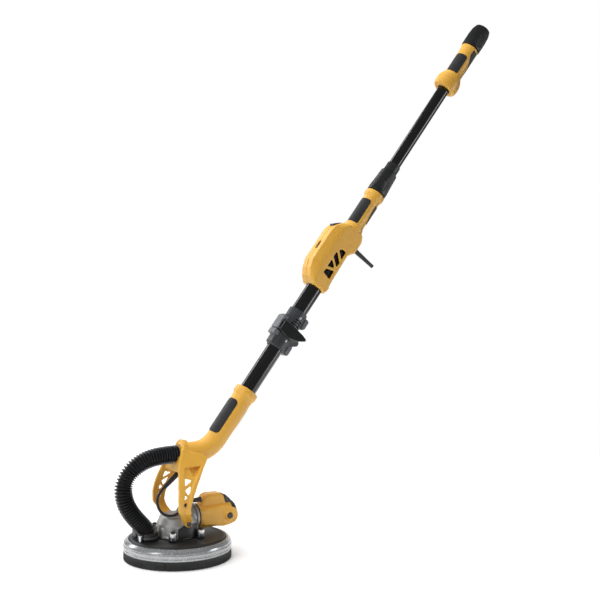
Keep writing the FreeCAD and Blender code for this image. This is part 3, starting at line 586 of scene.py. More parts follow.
# Zinc-plated turned steel: bright, with fine turning rings.
ZINC_STEEL = Finish("zinc_plated_steel", "#D3D4D6", "#C2C4C7", (0.2, 0.32), Pattern.TURNED, 0.8, 0.003,
                    metallic=1.0)
# Polycarbonate of the floating ring, moulded with metal flake in it: silver grey and polished.
SILVER_RING = Finish("moulded_polycarbonate_grey", "#AEB0B1", "#A0A2A4", (0.16, 0.3), Pattern.MOULDED,
                     3.0, 0.003, metallic=0.6, coat=0.4, ior=1.58)
# Moulded nylon cover disc, near black and satin.
COVER_NYLON = Finish("moulded_nylon_cover", "#1E1F20", "#262728", (0.4, 0.54), Pattern.MOULDED, 1.4, 0.05,
                     ior=1.53)
# Crimped nylon bristles, black.
BRISTLE_NYLON = Finish("crimped_nylon_bristle", "#101011", "#1B1B1C", (0.5, 0.7), Pattern.MOULDED, 0.8,
                       0.08, sheen=0.2)
# Closed-cell foam of the backing pad.
PAD_FOAM = Finish("closed_cell_foam", "#2A2A2B", "#333334", (0.8, 0.92), Pattern.FOAM, 1.6, 0.25)
# Aluminium-oxide abrasive paper: brown grit on a cloth back.
ABRASIVE = Finish("aluminium_oxide_grit", "#8A5F3D", "#74502F", (0.75, 0.95), Pattern.GRIT, 0.9, 0.3)
# Epoxy laminate circuit board, green.
BOARD = Finish("epoxy_laminate_green", "#235238", "#2A5F42", (0.35, 0.5), Pattern.WOVEN, 1.0, 0.02)
# Enamelled copper windings, brown-red.
COPPER = Finish("enamelled_copper", "#9A4B25", "#7E3B1C", (0.3, 0.42), Pattern.TURNED, 0.7, 0.08,
                metallic=0.9)


def dress(made: bpy.types.Object, finish: Finish, body: str, slot: str, *stands_for: str,
          crease: float = 35.0) -> bpy.types.Object:
    """Give a piece its finish, its body and the CAD nodes that it stands for.

    Args:
        made: the piece, its place in its mesh.
        finish: its material.
        body: the CAD body that it moves with.
        slot: not used.
        stands_for: CAD nodes that it replaces.
        crease: edges turning more than this many degrees stay sharp.
    Returns:
        The piece.
    """
    shade(made, finish, crease)
    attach(made, body)
    if stands_for:
        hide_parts(*stands_for)
    log.info("%s: %d faces on %s", made.name, len(made.data.polygons), body)
    return made


def shade(made: bpy.types.Object, finish: Finish, crease: float = 35.0) -> None:
    """Smooth shading up to the crease angle, and the finish as the piece's only material."""
    made.data.shade_smooth()
    made.data.set_sharp_from_angle(angle=math.radians(crease))
    made.data.materials.clear()
    made.data.materials.append(finish.material())


def plain(name: str, shell: Shell) -> bpy.types.Object:
    """A shell as a piece, just as it was worked out."""
    return to_object(name, to_mesh(name, shell))


def bent(shell: Shell, levels: Iterable[float], bow: Callable[[Array], Array]) -> Shell:
    """A shell divided at heights z and then moved sideways: y becomes y + bow(z), in metres."""
    mesh = to_mesh("bent", shell, [((0.0, 0.0, z * MM), (0.0, 0.0, 1.0)) for z in levels])
    points = points_of(mesh)
    points[:, 1] += bow(points[:, 2])
    faces = [list(face.vertices) for face in mesh.polygons]
    bpy.data.meshes.remove(mesh)
    return Shell().add(points, faces)


def screw_head(shell: Shell, axes: Axes, radius: float = 4.0, height: float = 2.2) -> Shell:
    """A pan head on the axes' origin, facing along z, its driver recess a six-lobed pit.

    The recess's wall stands at radius (0.4 + 0.06 cos 6a) of the head's.
    """
    profile = np.vstack((rounded([(0.0, 0.0), (radius, 0.0), (radius, height), (radius * 0.5, height)],
                                 [0.1, 0.1, height * 0.7, 0.1], 6, closed=False),
                         [(radius * 0.42, height - 0.1), (radius * 0.4, height - 1.2),
                          (0.0, height - 1.3)]))

    def lobes(angle: Array, at: Array) -> Array:
        """Only the recess's wall is lobed."""
        ring = np.zeros((len(profile), 1))
        ring[-4:-1] = 0.06 * radius
        return ring * np.cos(6 * angle)
    return shell.grid(axes.place(turn(profile, 48, lobes)), False, True)


# ---------------------------------------------------------------- studio

@dataclass
class Studio:
    """Camera, lights and floor, which aren't part of the tool."""

    eye: Triple = (-1.1743, -2.4962, 0.7664)
    right: Triple = (0.8572, -0.5150, 0.0)
    up: Triple = (0.0339, 0.0564, 0.9978)
    lens: float = 73.44
    walls: float = 0.2
    floor_radius: float = 1700.0
    floor_drop: float = 0.4
    floor_glow: float = 0.16

    def camera(self) -> None:
        """A camera at eye level of the middle of the boom, a little above it and looking down 4 degrees."""
        data = bpy.data.cameras.new("camera")
        data.lens = self.lens
        data.sensor_width = 36.0
        data.clip_end = 60.0
        made = to_object("camera", data)
        across = Vector(self.right).normalized()
        upward = (Vector(self.up) - across * Vector(self.up).dot(across)).normalized()
        back = across.cross(upward)
        turn_to = Matrix((across, upward, back)).transposed()
        made.matrix_world = Matrix.Translation(self.eye) @ turn_to.to_4x4()
        bpy.context.scene.camera = made

    def lamp(self, name: str, place: Triple, target: Triple, size: Pair, power: float,
             along: Triple = (0.0, 0.0, 1.0), part: str = "both") -> None:
        """A rectangular soft light.

        Args:
            name: its name.
            place, target: where it stands and what it faces, in metres.
            size: its width and its length in metres.
            power: in watts.
            along: the way that its length runs.
            part: "both", or only its "shade" or its "shine", as from a lamp behind a polariser.
        """
        data = bpy.data.lights.new(name, "AREA")
        data.shape = "RECTANGLE"
        data.size, data.size_y = size
        data.energy = power
        made = to_object(name, data)
        away = (Vector(place) - Vector(target)).normalized()
        length = (Vector(along) - away * Vector(along).dot(away)).normalized()
        turn_to = Matrix((length.cross(away), length, away)).transposed()
        made.matrix_world = Matrix.Translation(place) @ turn_to.to_4x4()
        made.visible_camera = False
        made.visible_glossy = part != "shade"
        made.visible_diffuse = part != "shine"

    def surroundings(self) -> None:
        """A white backdrop, which lights the tool only from ahead of the camera, and dim walls round it."""
        world = bpy.data.worlds.new("studio")
        world.use_nodes = True
        tree = world.node_tree
        ahead = -Vector(self.right).cross(Vector(self.up)).normalized()
        towards = add_node(tree, "ShaderNodeTexCoord").outputs["Generated"]
        facing = add_node(tree, "ShaderNodeVectorMath", {"operation": "DOT_PRODUCT"})
        tree.links.new(towards, facing.inputs[0])
        facing.inputs[1].default_value = ahead
        wall = add_node(tree, "ShaderNodeMapRange",
                        {"interpolation_type": "SMOOTHSTEP", "From Min": 0.72, "From Max": 0.94,
                         "To Min": self.walls, "To Max": 1.0}, {"Value": facing.outputs["Value"]})
        seen = add_node(tree, "ShaderNodeLightPath").outputs["Is Camera Ray"]
        strength = add_node(tree, "ShaderNodeMath", {"operation": "MAXIMUM"})
        tree.links.new(wall.outputs["Result"], strength.inputs[0])
        tree.links.new(seen, strength.inputs[1])
        tree.links.new(strength.outputs["Value"], tree.nodes["Background"].inputs["Strength"])
        tree.nodes["Background"].inputs["Color"].default_value = linear("#FFFFFF")
        bpy.context.scene.world = world

    def floor(self) -> None:
        """A pale floor disc just under the bristles, which glows a little to match the backdrop."""
        points = lifted(circle(self.floor_radius, 96), -self.floor_drop)
        made = to_object("floor", to_mesh("floor", Shell().cap(GROUND.place(points))))
        material = bpy.data.materials.new("floor_paper")
        material.use_nodes = True
        shader = material.node_tree.nodes["Principled BSDF"]
        shader.inputs["Base Color"].default_value = linear("#FAFAFA")
        shader.inputs["Roughness"].default_value = 0.9
        shader.inputs["Specular IOR Level"].default_value = 0.1
        shader.inputs["Emission Color"].default_value = linear("#FFFFFF")
        shader.inputs["Emission Strength"].default_value = self.floor_glow
        made.data.materials.append(material)

    def build(self) -> None:
        """Set up the whole studio: an overhead softbox, a key, and three strips along the boom."""
        self.camera()
        self.floor()
        self.surroundings()
        bpy.context.scene.view_settings.view_transform = "Standard"
        middle = (0.35, 0.0, 0.6)
        self.lamp("overhead", (-0.5, 0.7, 3.2), (0.2, 0.0, 0.0), (5.0, 5.0), 185.0, part="shade")
        self.lamp("key", (-2.4, -1.6, 2.4), middle, (1.0, 1.0), 19.0, part="shade")
        self.lamp("strip_right", (1.67, -0.97, 0.52), (0.82, 0.0, 1.18), (0.5, 1.7), 11.0, BOOM.z, "shine")
        self.lamp("strip_left", (-0.35, 1.25, 1.2), middle, (0.3, 2.4), 12.0, BOOM.z, "shine")
        self.lamp("strip_front", (-1.9, -0.7, 1.1), middle, (0.5, 1.8), 11.0, BOOM.z, "shine")


# ---------------------------------------------------------------- dust hose and motor lead

HOSE_ROUTE = [(2, 0, 235.4), (-42, 0, 236.5), (-84, 0, 228), (-119, 0, 204), (-133.5, 0, 170),
              (-126, 0, 133), (-106, 0, 103), (-86, 0, 82), (-75, 0, 66), (-73, 0, 57)]
LEAD_ROUTE = [(-31, 0, 163), (-42, 0, 153.7), (-52, -5, 139), (-55, -15, 123), (-50, -27, 110),
              (-36, -35, 104), (-20, -35, 105.5), (-5, -29, 111), (8, -20, 119), (20, -13, 125),
              (34, -10, 127)]


def spline_line(name: str, route: Sequence[Triple]) -> Array:
    """The line of a NURBS spline of order 3 with the route's points as its control points.

    Args:
        name: the curve's name.
        route: control points in millimetres.
    Returns:
        Points along the spline, (n, 3) in millimetres.
    """
    data = bpy.data.curves.new(name, "CURVE")
    data.dimensions = "3D"
    data.resolution_u = 24
    spline = data.splines.new("NURBS")
    spline.points.add(len(route) - 1)
    for point, (x, y, z) in zip(spline.points, route):
        point.co = (x * MM, y * MM, z * MM, 1.0)
    spline.order_u = 3
    spline.use_endpoint_u = True
    made = to_object(name, data)
    graph = bpy.context.evaluated_depsgraph_get()
    mesh = bpy.data.meshes.new_from_object(made.evaluated_get(graph))
    points = points_of(mesh) / MM
    bpy.data.meshes.remove(mesh)
    bpy.data.objects.remove(made)
    bpy.data.curves.remove(data)
    return points


@dataclass
class SoftParts:
    """The bellows hose from the neck to the head, and the motor lead beside it."""

    crest: float = 20.6
    valley: float = 14.8
    pitch: float = 6.3
    lead: float = 3.2

    def hose(self) -> None:
        """A bellows: along the spline the radius is valley + (crest - valley) (0.5 - 0.5 cos)^1.3."""
        line = spline_line("hose_line", HOSE_ROUTE)
        length = float(np.linalg.norm(np.diff(line, axis=0), axis=1).sum())
        ribs = round(length / self.pitch)
        path = evenly(line, ribs * 12 + 1)
        wave = 0.5 - 0.5 * np.cos(np.linspace(0.0, 2 * np.pi * ribs, len(path)))
        radius = self.valley + (self.crest - self.valley) * wave ** 1.3
        made = plain("hose_bellows", Shell().tube(path, radius, 56))
        shade(made, HOSE_RUBBER, 60.0)
        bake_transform(made)
        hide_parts("dust_hose")
        log.info("hose: %.0f mm long, %d ribs", length, ribs)

    def motor_lead(self) -> None:
        """A plain round lead along its spline."""
        line = spline_line("lead_line", LEAD_ROUTE)
        path = evenly(line, 121)
        made = plain("lead_jacket", Shell().tube(path, self.lead, 20, (0.2, 0.6, -0.9)))
        shade(made, LEAD_PVC)
        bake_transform(made)
        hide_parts("motor_lead")

    def sleeves(self) -> None:
        """The ribbed strain reliefs that hold the lead at the neck and at the motor."""
        start, end = np.array((8.0, 0.0, 196.0)), np.array((-31.0, 0.0, 163.0))
        path = evenly(np.stack((start, end)), 91)
        share = np.linspace(0.0, 1.0, 91)
        ribs = 0.35 * (0.5 + 0.5 * np.cos(share * 2 * np.pi * 11)) * smoothstep(0.3, 0.4, share)
        shell = Shell().tube(path, 6.6 - 1.9 * share + ribs, 32)
        shell.lathe(GROUND.moved(8, 0, 194), rounded([(0, 0), (8, 0), (8, 10), (0, 10)], [0.1, 2, 2, 0.1],
                                                     closed=False), 48)
        dress(plain("lead_relief_neck", shell), BLACK_NYLON, "boom", "lead_pvc", "lead_sleeve_neck")
        path = evenly(np.array(((33.0, -10.0, 126.9), (54.2, -10.0, 127.6))), 81)
        share = np.linspace(0.0, 1.0, 81)
        ribs = 0.4 * (0.5 + 0.5 * np.cos(share * 2 * np.pi * 6))
        shell = Shell().tube(path, 4.4 + 1.3 * share + ribs, 32)
        dress(plain("lead_relief_motor", shell), BLACK_NYLON, "head", "lead_pvc", "lead_sleeve_motor")

    def build(self) -> None:
        """Make every soft part."""
        self.hose()
        self.motor_lead()
        self.sleeves()


# ---------------------------------------------------------------- yoke and neck

@dataclass
class Yoke:
    """The neck, the hood round the hose's mouth and the two bowed arms, moulded in one piece."""

    neck: float = 24.6
    height: float = 236.0
    bend: float = 73.0
    grip_end: float = 443.0

    def centreline(self) -> Array:
        """Level from the mouth, a circular bend, then straight up the boom's line."""
        corner = BOOM_FOOT + self.height / math.tan(LEAN)
        tangent = self.bend * math.tan(LEAN / 2)
        q = np.linspace(0.0, LEAN, 24)
        arc = np.stack((corner - tangent + self.bend * np.sin(q),
                        self.height + self.bend * (1 - np.cos(q))), 1)
        end = (BOOM_FOOT + self.grip_end * math.cos(LEAN), self.grip_end * math.sin(LEAN))
        flat = np.vstack(([(4.0, self.height)], arc, [end]))
        return evenly(np.column_stack((flat[:, 0], np.zeros(len(flat)), flat[:, 1])), 120)

    def bow(self, z: Array) -> Array:
        """How far out an arm's middle stands at height z, in metres, on a rounded polyline."""
        line = rounded([(60, 50.6), (90, 50.6), (101, 61), (114, 69.4), (140, 70), (161, 65), (184, 55),
                        (212, 39), (246, 21)], 12, 6, closed=False)
        return np.interp(z / MM, line[:, 0], line[:, 1]) * MM

    def shifted(self, shell: Shell, sign: float) -> Shell:
        """A flat piece bent out to the arm's bow on its side."""
        return bent(shell, np.arange(72.0, 246.0, 3.0), lambda z: sign * self.bow(z))

    def arm(self, sign: float) -> Shell:
        """One arm: a thin truss web between two ribs, under a brow; sign is -1 near."""
        left = [(3, 252), (-1, 242), (-7, 230), (-13, 218), (-18, 202), (-25, 173), (-29.5, 144),
                (-29.5, 118), (-20, 103), (-5, 81)]
        right = [(62, 230), (56, 219), (45, 206), (31.5, 187.5), (19, 169), (10, 153.5), (3, 138),
                 (-0.7, 122), (2.8, 106), (10.5, 92), (10.5, 82), (7, 78)]
        side = rounded(left[::-1] + right, 6, 5)
        windows = [rounded([(-6.5, 190), (-10, 171), (12.5, 184)], 2.0, 4),
                   rounded([(-11, 165), (7, 175.5), (2.5, 160), (-4.5, 152)], 2.0, 4),
                   rounded([(-14, 158), (-16.5, 142), (-5, 149)], 1.8, 4),
                   rounded([(-18.5, 135), (-7, 141), (-10, 122)], 1.8, 4)]
        rib = rounded(left + [(4, 82), (-3, 92), (-14, 107), (-19.5, 125), (-17.5, 140), (-14, 152),
                              (-10, 172), (-6, 191), (-1.5, 211), (12, 246)], 5, 5)
        rail = rounded(right + [(0, 84), (1, 95), (-7.5, 108), (-8.5, 122), (-4, 143), (3, 161),
                                (11, 176), (23.5, 190), (40, 212), (50, 228)], 4, 5)
        brow = rounded([(2, 250), (58, 230), (46, 213), (40, 211.5), (-2, 210), (-8, 226)], 3, 5)
        backing = rounded([(-3, 214), (44, 216), (23, 186), (-5, 187)], 3, 5)
        whole = Shell()
        web_holes = [inset(loop, 0.8) for loop in windows]
        for outline, inner, outer, edge, holes in ((side, -2.4, 1.2, 0.6, web_holes),
                                                   (rib, -3.3, 4.4, 1.5, ()), (rail, -3.3, 4.4, 1.5, ()),
                                                   (brow, -3.3, 4.4, 1.2, ()),
                                                   (backing, -9.5, -2.0, 1.0, ())):
            low, high = sorted((-sign * inner, -sign * outer))
            whole.join(self.shifted(Shell().plate(NEAR, outline, low, high, edge, holes), sign))
        eye = rounded([(0, -3.6), (8.4, -3.6), (8.4, 4.6), (0, 4.6)], [0.1, 1.2, 1.2, 0.1], closed=False)
        return whole.lathe(outward(sign, PIVOT_X, PIVOT_Z, 50.5), eye, 40)

    def pocket(self, sign: float) -> Shell:
        """The pocket under an arm's brow, between its ribs, deepest towards the slim rib."""
        floor = rounded([(-1, 210), (40, 211.8), (28, 196), (20, 187), (11, 190), (-5.5, 191.5)], 1.5, 4)
        deep = rounded([(12, 210.2), (39.5, 211.4), (27.5, 196), (21, 189), (17, 192)], 1.5, 4)
        tools = Shell()
        for outline, level in ((floor, -0.5), (deep, -6.5)):
            low, high = sorted((-sign * level, -sign * 14.0))
            tools.join(self.shifted(Shell().plate(NEAR, outline, low, high, 0.3), sign))
        return tools

    def body(self) -> None:
        """Neck, hood, saddle and arms grown together."""
        solids = Shell().tube(self.centreline(), self.neck, 72)
        hood = rounded([(-29, -14), (-27.5, 8), (-19.5, 24), (-6.5, 32.5), (6.5, 32.5), (19.5, 24),
                        (27.5, 8), (29, -14), (24, -28), (-24, -28)], [8, 12, 12, 4, 4, 12, 12, 8, 8, 8],
                       6)
        mouth = Axes((7.5, 0.0, self.height), (0, 1, 0), (0.2, 0, 0.98), (0.98, 0, -0.2))
        solids.plate(mouth, hood, -5.0, 6.0, 1.8, [circle(21.0, 48)])
        rows = []
        for z, half, front, back in ((252, 13, 4, 36), (240, 22.5, 1, 54), (229, 27, -5, 59),
                                     (219, 33, -9, 52), (209, 38, -11, 43), (202, 43, -12, 37),
                                     (198.5, 44, -11, 33)):
            loop = rounded([(front, -half), (back, -half), (back, half), (front, half)], 7.0, 5)
            rows.append(lifted(loop, z))
        solids.stacked(GROUND, rows)
        lug = rounded([(0, 248), (7.5, 248), (6.0, 264.6), (0, 264.6)], [0.1, 1.5, 1.5, 0.1], closed=False)
        solids.lathe(GROUND.moved(x=19), lug, 32)
        tools = Shell()
        for sign in (-1.0, 1.0):
            solids.join(self.arm(sign))
            tools.join(self.pocket(sign))
        made = moulded("yoke_moulding", solids, tools, 1.15, 3)
        dress(made, YELLOW_ABS, "boom", "yellow_abs", "neck_grip_shell", "yoke_saddle", "yoke_arm_near",
              "yoke_arm_far", "hose_mouth_ring", crease=60)
        dress(plain("neck_screw", screw_head(Shell(), GROUND.moved(19, 0, 264.2), 3.9, 1.6)), SLATE_NYLON,
              "boom", "grey_plastic")


# ---------------------------------------------------------------- grips and tubes

@dataclass
class Grips:
    """The three yellow grips on the boom with their rubber pads, and the collars that end them."""

    front: float = 24.6
    middle: float = 21.2
    rear: float = 21.4
    rise: float = 1.5

    def pad(self, radius: float, first: float, last: float, middle: Callable[[Array], Array],
            half: Callable[[Array], Array], corner: float = 14.0) -> Shell:
        """A rubber pad on a round grip: its height is a smooth step of the distance inside its outline.

        The outline is a rounded rectangle whose half width changes along the grip. The distance is the
        signed one to that rectangle, and the pad stands rise above the grip inside it and sinks below
        the grip's skin outside it.

        Args:
            radius: the grip's radius.
            first, last: the stations of its ends.
            middle: the angle of its middle at each station, in degrees round from the underside.
            half: half its width in millimetres at each station.
            corner: its corners' radius.
        """
        t = np.linspace(first - 1.5, last + 1.5, 110)[:, None]
        s = np.linspace(-1.0, 1.0, 64)[None, :]
        wide = half(t)
        across = s * (wide + 1.5)
        beyond = np.abs(t - (first + last) / 2) - ((last - first) / 2 - corner)
        q = np.stack((np.abs(across) - (wide - corner), beyond + 0 * across), -1)
        gap = corner - np.linalg.norm(np.maximum(q, 0), axis=-1) - np.minimum(q.max(-1), 0)
        height = radius - 0.9 + (self.rise + 0.9) * smoothstep(-0.2, 2.4, gap)
        angle = np.radians(middle(t)) + across / radius
        outer = np.stack((height * np.cos(angle), height * np.sin(angle), t + 0 * across), -1)
        inner = outer.copy()
        inner[..., 0] = (radius - 1.6) * np.cos(angle)
        inner[..., 1] = (radius - 1.6) * np.sin(angle)
        return Shell().slab(BOOM.place(outer), BOOM.place(inner))

    def front_grip(self) -> None:
        """The collar that ends the neck, and the neck's two pads."""
        collar = rounded([(TUBE_BORE, 444), (24.6, 436), (25.4, 446), (28.4, 453), (28.4, 466.5),
                          (TUBE_BORE, 466.5)], [0.3, 0.5, 8, 8, 5.0, 0.6], 6)
        dress(plain("front_collar", Shell().lathe(BOOM, collar, 96, True)), YELLOW_ABS, "boom",
              "yellow_abs", "front_grip_collar")
        top = self.pad(self.front, 338, 431, lambda t: 196 + 0 * t, lambda t: 18.5 + 0 * t, 11)
        under = self.pad(self.front, 345, 431, lambda t: 8 + 0 * t,
                         lambda t: 11.5 - 3.5 * smoothstep(400, 340, t), 7)
        dress(plain("front_pads", top.join(under)), SOFT_TPE, "boom", "black_rubber", "front_grip_pads",
              crease=60)

    def middle_grip(self) -> None:
        """The grip above the control housing, its pads and the collar that ends it."""
        body = rounded([(TUBE_BORE, 934), (26, 934), (25.5, 944), (21.6, 956), (21.2, 968), (21.2, 1020),
                        (21.6, 1032), (25.3, 1040), (25.3, 1050.8), (TUBE_BORE, 1050.8)],
                       [0.3, 2, 8, 14, 20, 10, 5, 3, 2.5, 0.5], 6)
        dress(plain("middle_grip_moulding", Shell().lathe(BOOM, body, 96, True)), YELLOW_ABS,
              "upper_boom", "yellow_abs", "middle_grip", "boom_collar")
        top = self.pad(self.middle, 941, 1024, lambda t: 202 + 0 * t, lambda t: 18.0 + 0 * t, 8)
        under = self.pad(self.middle, 969, 1022, lambda t: -32 + 0 * t,
                         lambda t: 13.5 - 8.0 * smoothstep(1000, 966, t), 3)
        dress(plain("middle_pads", top.join(under)), SOFT_TPE, "upper_boom", "black_rubber",
              "middle_grip_pads", crease=60)

    def rear_grip(self) -> None:
        """The rear handle with its lobed knob at the lower end."""
        body = rounded([(15.4, 1394), (16.4, 1388), (23, 1387.3), (29, 1391), (31.2, 1401), (30.8, 1414),
                        (28.6, 1423), (24.6, 1431), (22.0, 1437), (21.3, 1450), (21.4, 1500),
                        (22.4, 1514), (23.8, 1523.7), (15.4, 1523.7)],
                       [0.5, 0.8, 4, 6, 8, 7, 5, 5, 6, 20, 20, 12, 1.6, 0.5], 6)
        dress(plain("rear_handle_moulding", self.lobed(body)), YELLOW_ABS, "telescope", "yellow_abs",
              "rear_handle", crease=50)
        top = self.pad(self.rear, 1432, 1493, lambda t: 216 + 0 * t, lambda t: 17.5 + 0 * t, 9)
        under = self.pad(self.rear, 1437, 1520, lambda t: -16 - 34 * smoothstep(1450, 1508, t),
                         lambda t: 2.5 + 14.5 * smoothstep(1450, 1508, t), 2.4)
        dress(plain("rear_pads", top.join(under)), SOFT_TPE, "telescope", "black_rubber",
              "rear_handle_pads", crease=60)

    @staticmethod
    def lobed(profile: Array) -> Shell:
        """A ring whose knob swells to two lobes, on top and below: radius + 2.2 cos 2a there."""
        def swell(angle: Array, at: Array) -> Array:
            """Lobes that fade out above the knob and towards its bore."""
            outside = smoothstep(20.0, 29.0, profile[:, :1])
            return (2.2 * np.cos(2 * angle) - 0.6) * smoothstep(1440, 1412, at) * outside
        return Shell().lathe(BOOM, profile, 96, True, swell)

    def build(self) -> None:
        """Make all three grips."""
        self.front_grip()
        self.middle_grip()
        self.rear_grip()


@dataclass
class Tubes:
    """Lower and upper boom tubes, the telescope's stem, its collet and twist lock, and the outlet."""

    collet_bore: float = 15.25
    outlet_bore: float = 15.23

    def build(self) -> None:
        """Finish the tubes and make the lock, the collet and the outlet."""
        for node in ("lower_tube", "upper_tube", "telescope_stem"):
            keep_node(node, BLACK_TUBE)
        self.lock()
        self.collet()
        self.outlet()

    def lock(self) -> None:
        """The twist lock's tapering sleeve, fluted for the hand."""
        lock = rounded([(19.08, 1053.3), (24.6, 1053.3), (24.6, 1064), (22.8, 1084), (21.4, 1116),
                        (19.08, 1116)], [0.4, 1.4, 6, 12, 1.6, 0.4], 6)

        def flutes(angle: Array, at: Array) -> Array:
            """Eight hollowed flats with fine ribs between them, fading at both ends."""
            fade = smoothstep(1059, 1068, at) * smoothstep(1115, 1108, at)
            return fade * (-1.0 * (0.5 + 0.5 * np.cos(8 * angle)) ** 2 + 0.35 * np.cos(48 * angle)
                           * (0.5 - 0.5 * np.cos(8 * angle)))
        dress(plain("lock_grip", Shell().lathe(BOOM, lock, 384, True, flutes)), BLACK_NYLON, "lock",
              "black_plastic", "lock_sleeve", crease=50)

    def collet(self) -> None:
        """The slotted collet that the lock squeezes onto the stem."""
        collet = rounded([(self.collet_bore, 1051.4), (19.0, 1051.4), (19.0, 1115.5), (18.4, 1118.5),
                          (17.5, 1122), (17.5, 1141), (self.collet_bore, 1141)],
                         [0.2, 0.3, 1.2, 1.2, 1.2, 1.8, 0.2], 5)

        def slots(angle: Array, at: Array) -> Array:
            """Six lengthwise clamping slots in the collet's free end."""
            return -1.1 * smoothstep(0.93, 0.98, np.cos(6 * angle)) * smoothstep(1121, 1124, at)
        dress(plain("lock_collet_jaws", Shell().lathe(BOOM, collet, 240, True, slots)), BLACK_NYLON,
              "upper_boom", "black_plastic", "lock_collet", crease=50)

    def outlet(self) -> None:
        """The cuff at the rear end that a vacuum hose pushes onto."""
        outlet = rounded([(self.outlet_bore, 1526.2), (25.0, 1526.2), (25.2, 1534), (25.2, 1560),
                          (24.0, 1578), (20.2, 1590.8), (17.5, 1590.8), (17.5, 1542),
                          (self.outlet_bore, 1542)], [0.2, 1.2, 3, 16, 14, 5, 1, 0.3, 0.3], 8)

        def ribs(angle: Array, at: Array) -> Array:
            """Forty fine lengthwise ribs on the outside, fading into the rounded end."""
            outside = smoothstep(1529, 1533, at) * smoothstep(1584, 1572, at) * (outlet[:, :1] > 19.9)
            return 0.36 * (np.cos(40 * angle) - 1) * outside
        dress(plain("outlet_cuff", Shell().lathe(BOOM, outlet, 320, True, ribs)), BLACK_NYLON, "outlet",
              "black_plastic", "hose_outlet", crease=50)


def keep_node(name: str, finish: Finish) -> None:
    """A CAD node that stays as it is gets its finish."""
    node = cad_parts[name]
    node.data.materials.clear()
    node.data.materials.append(finish.material())


# ---------------------------------------------------------------- fold joint

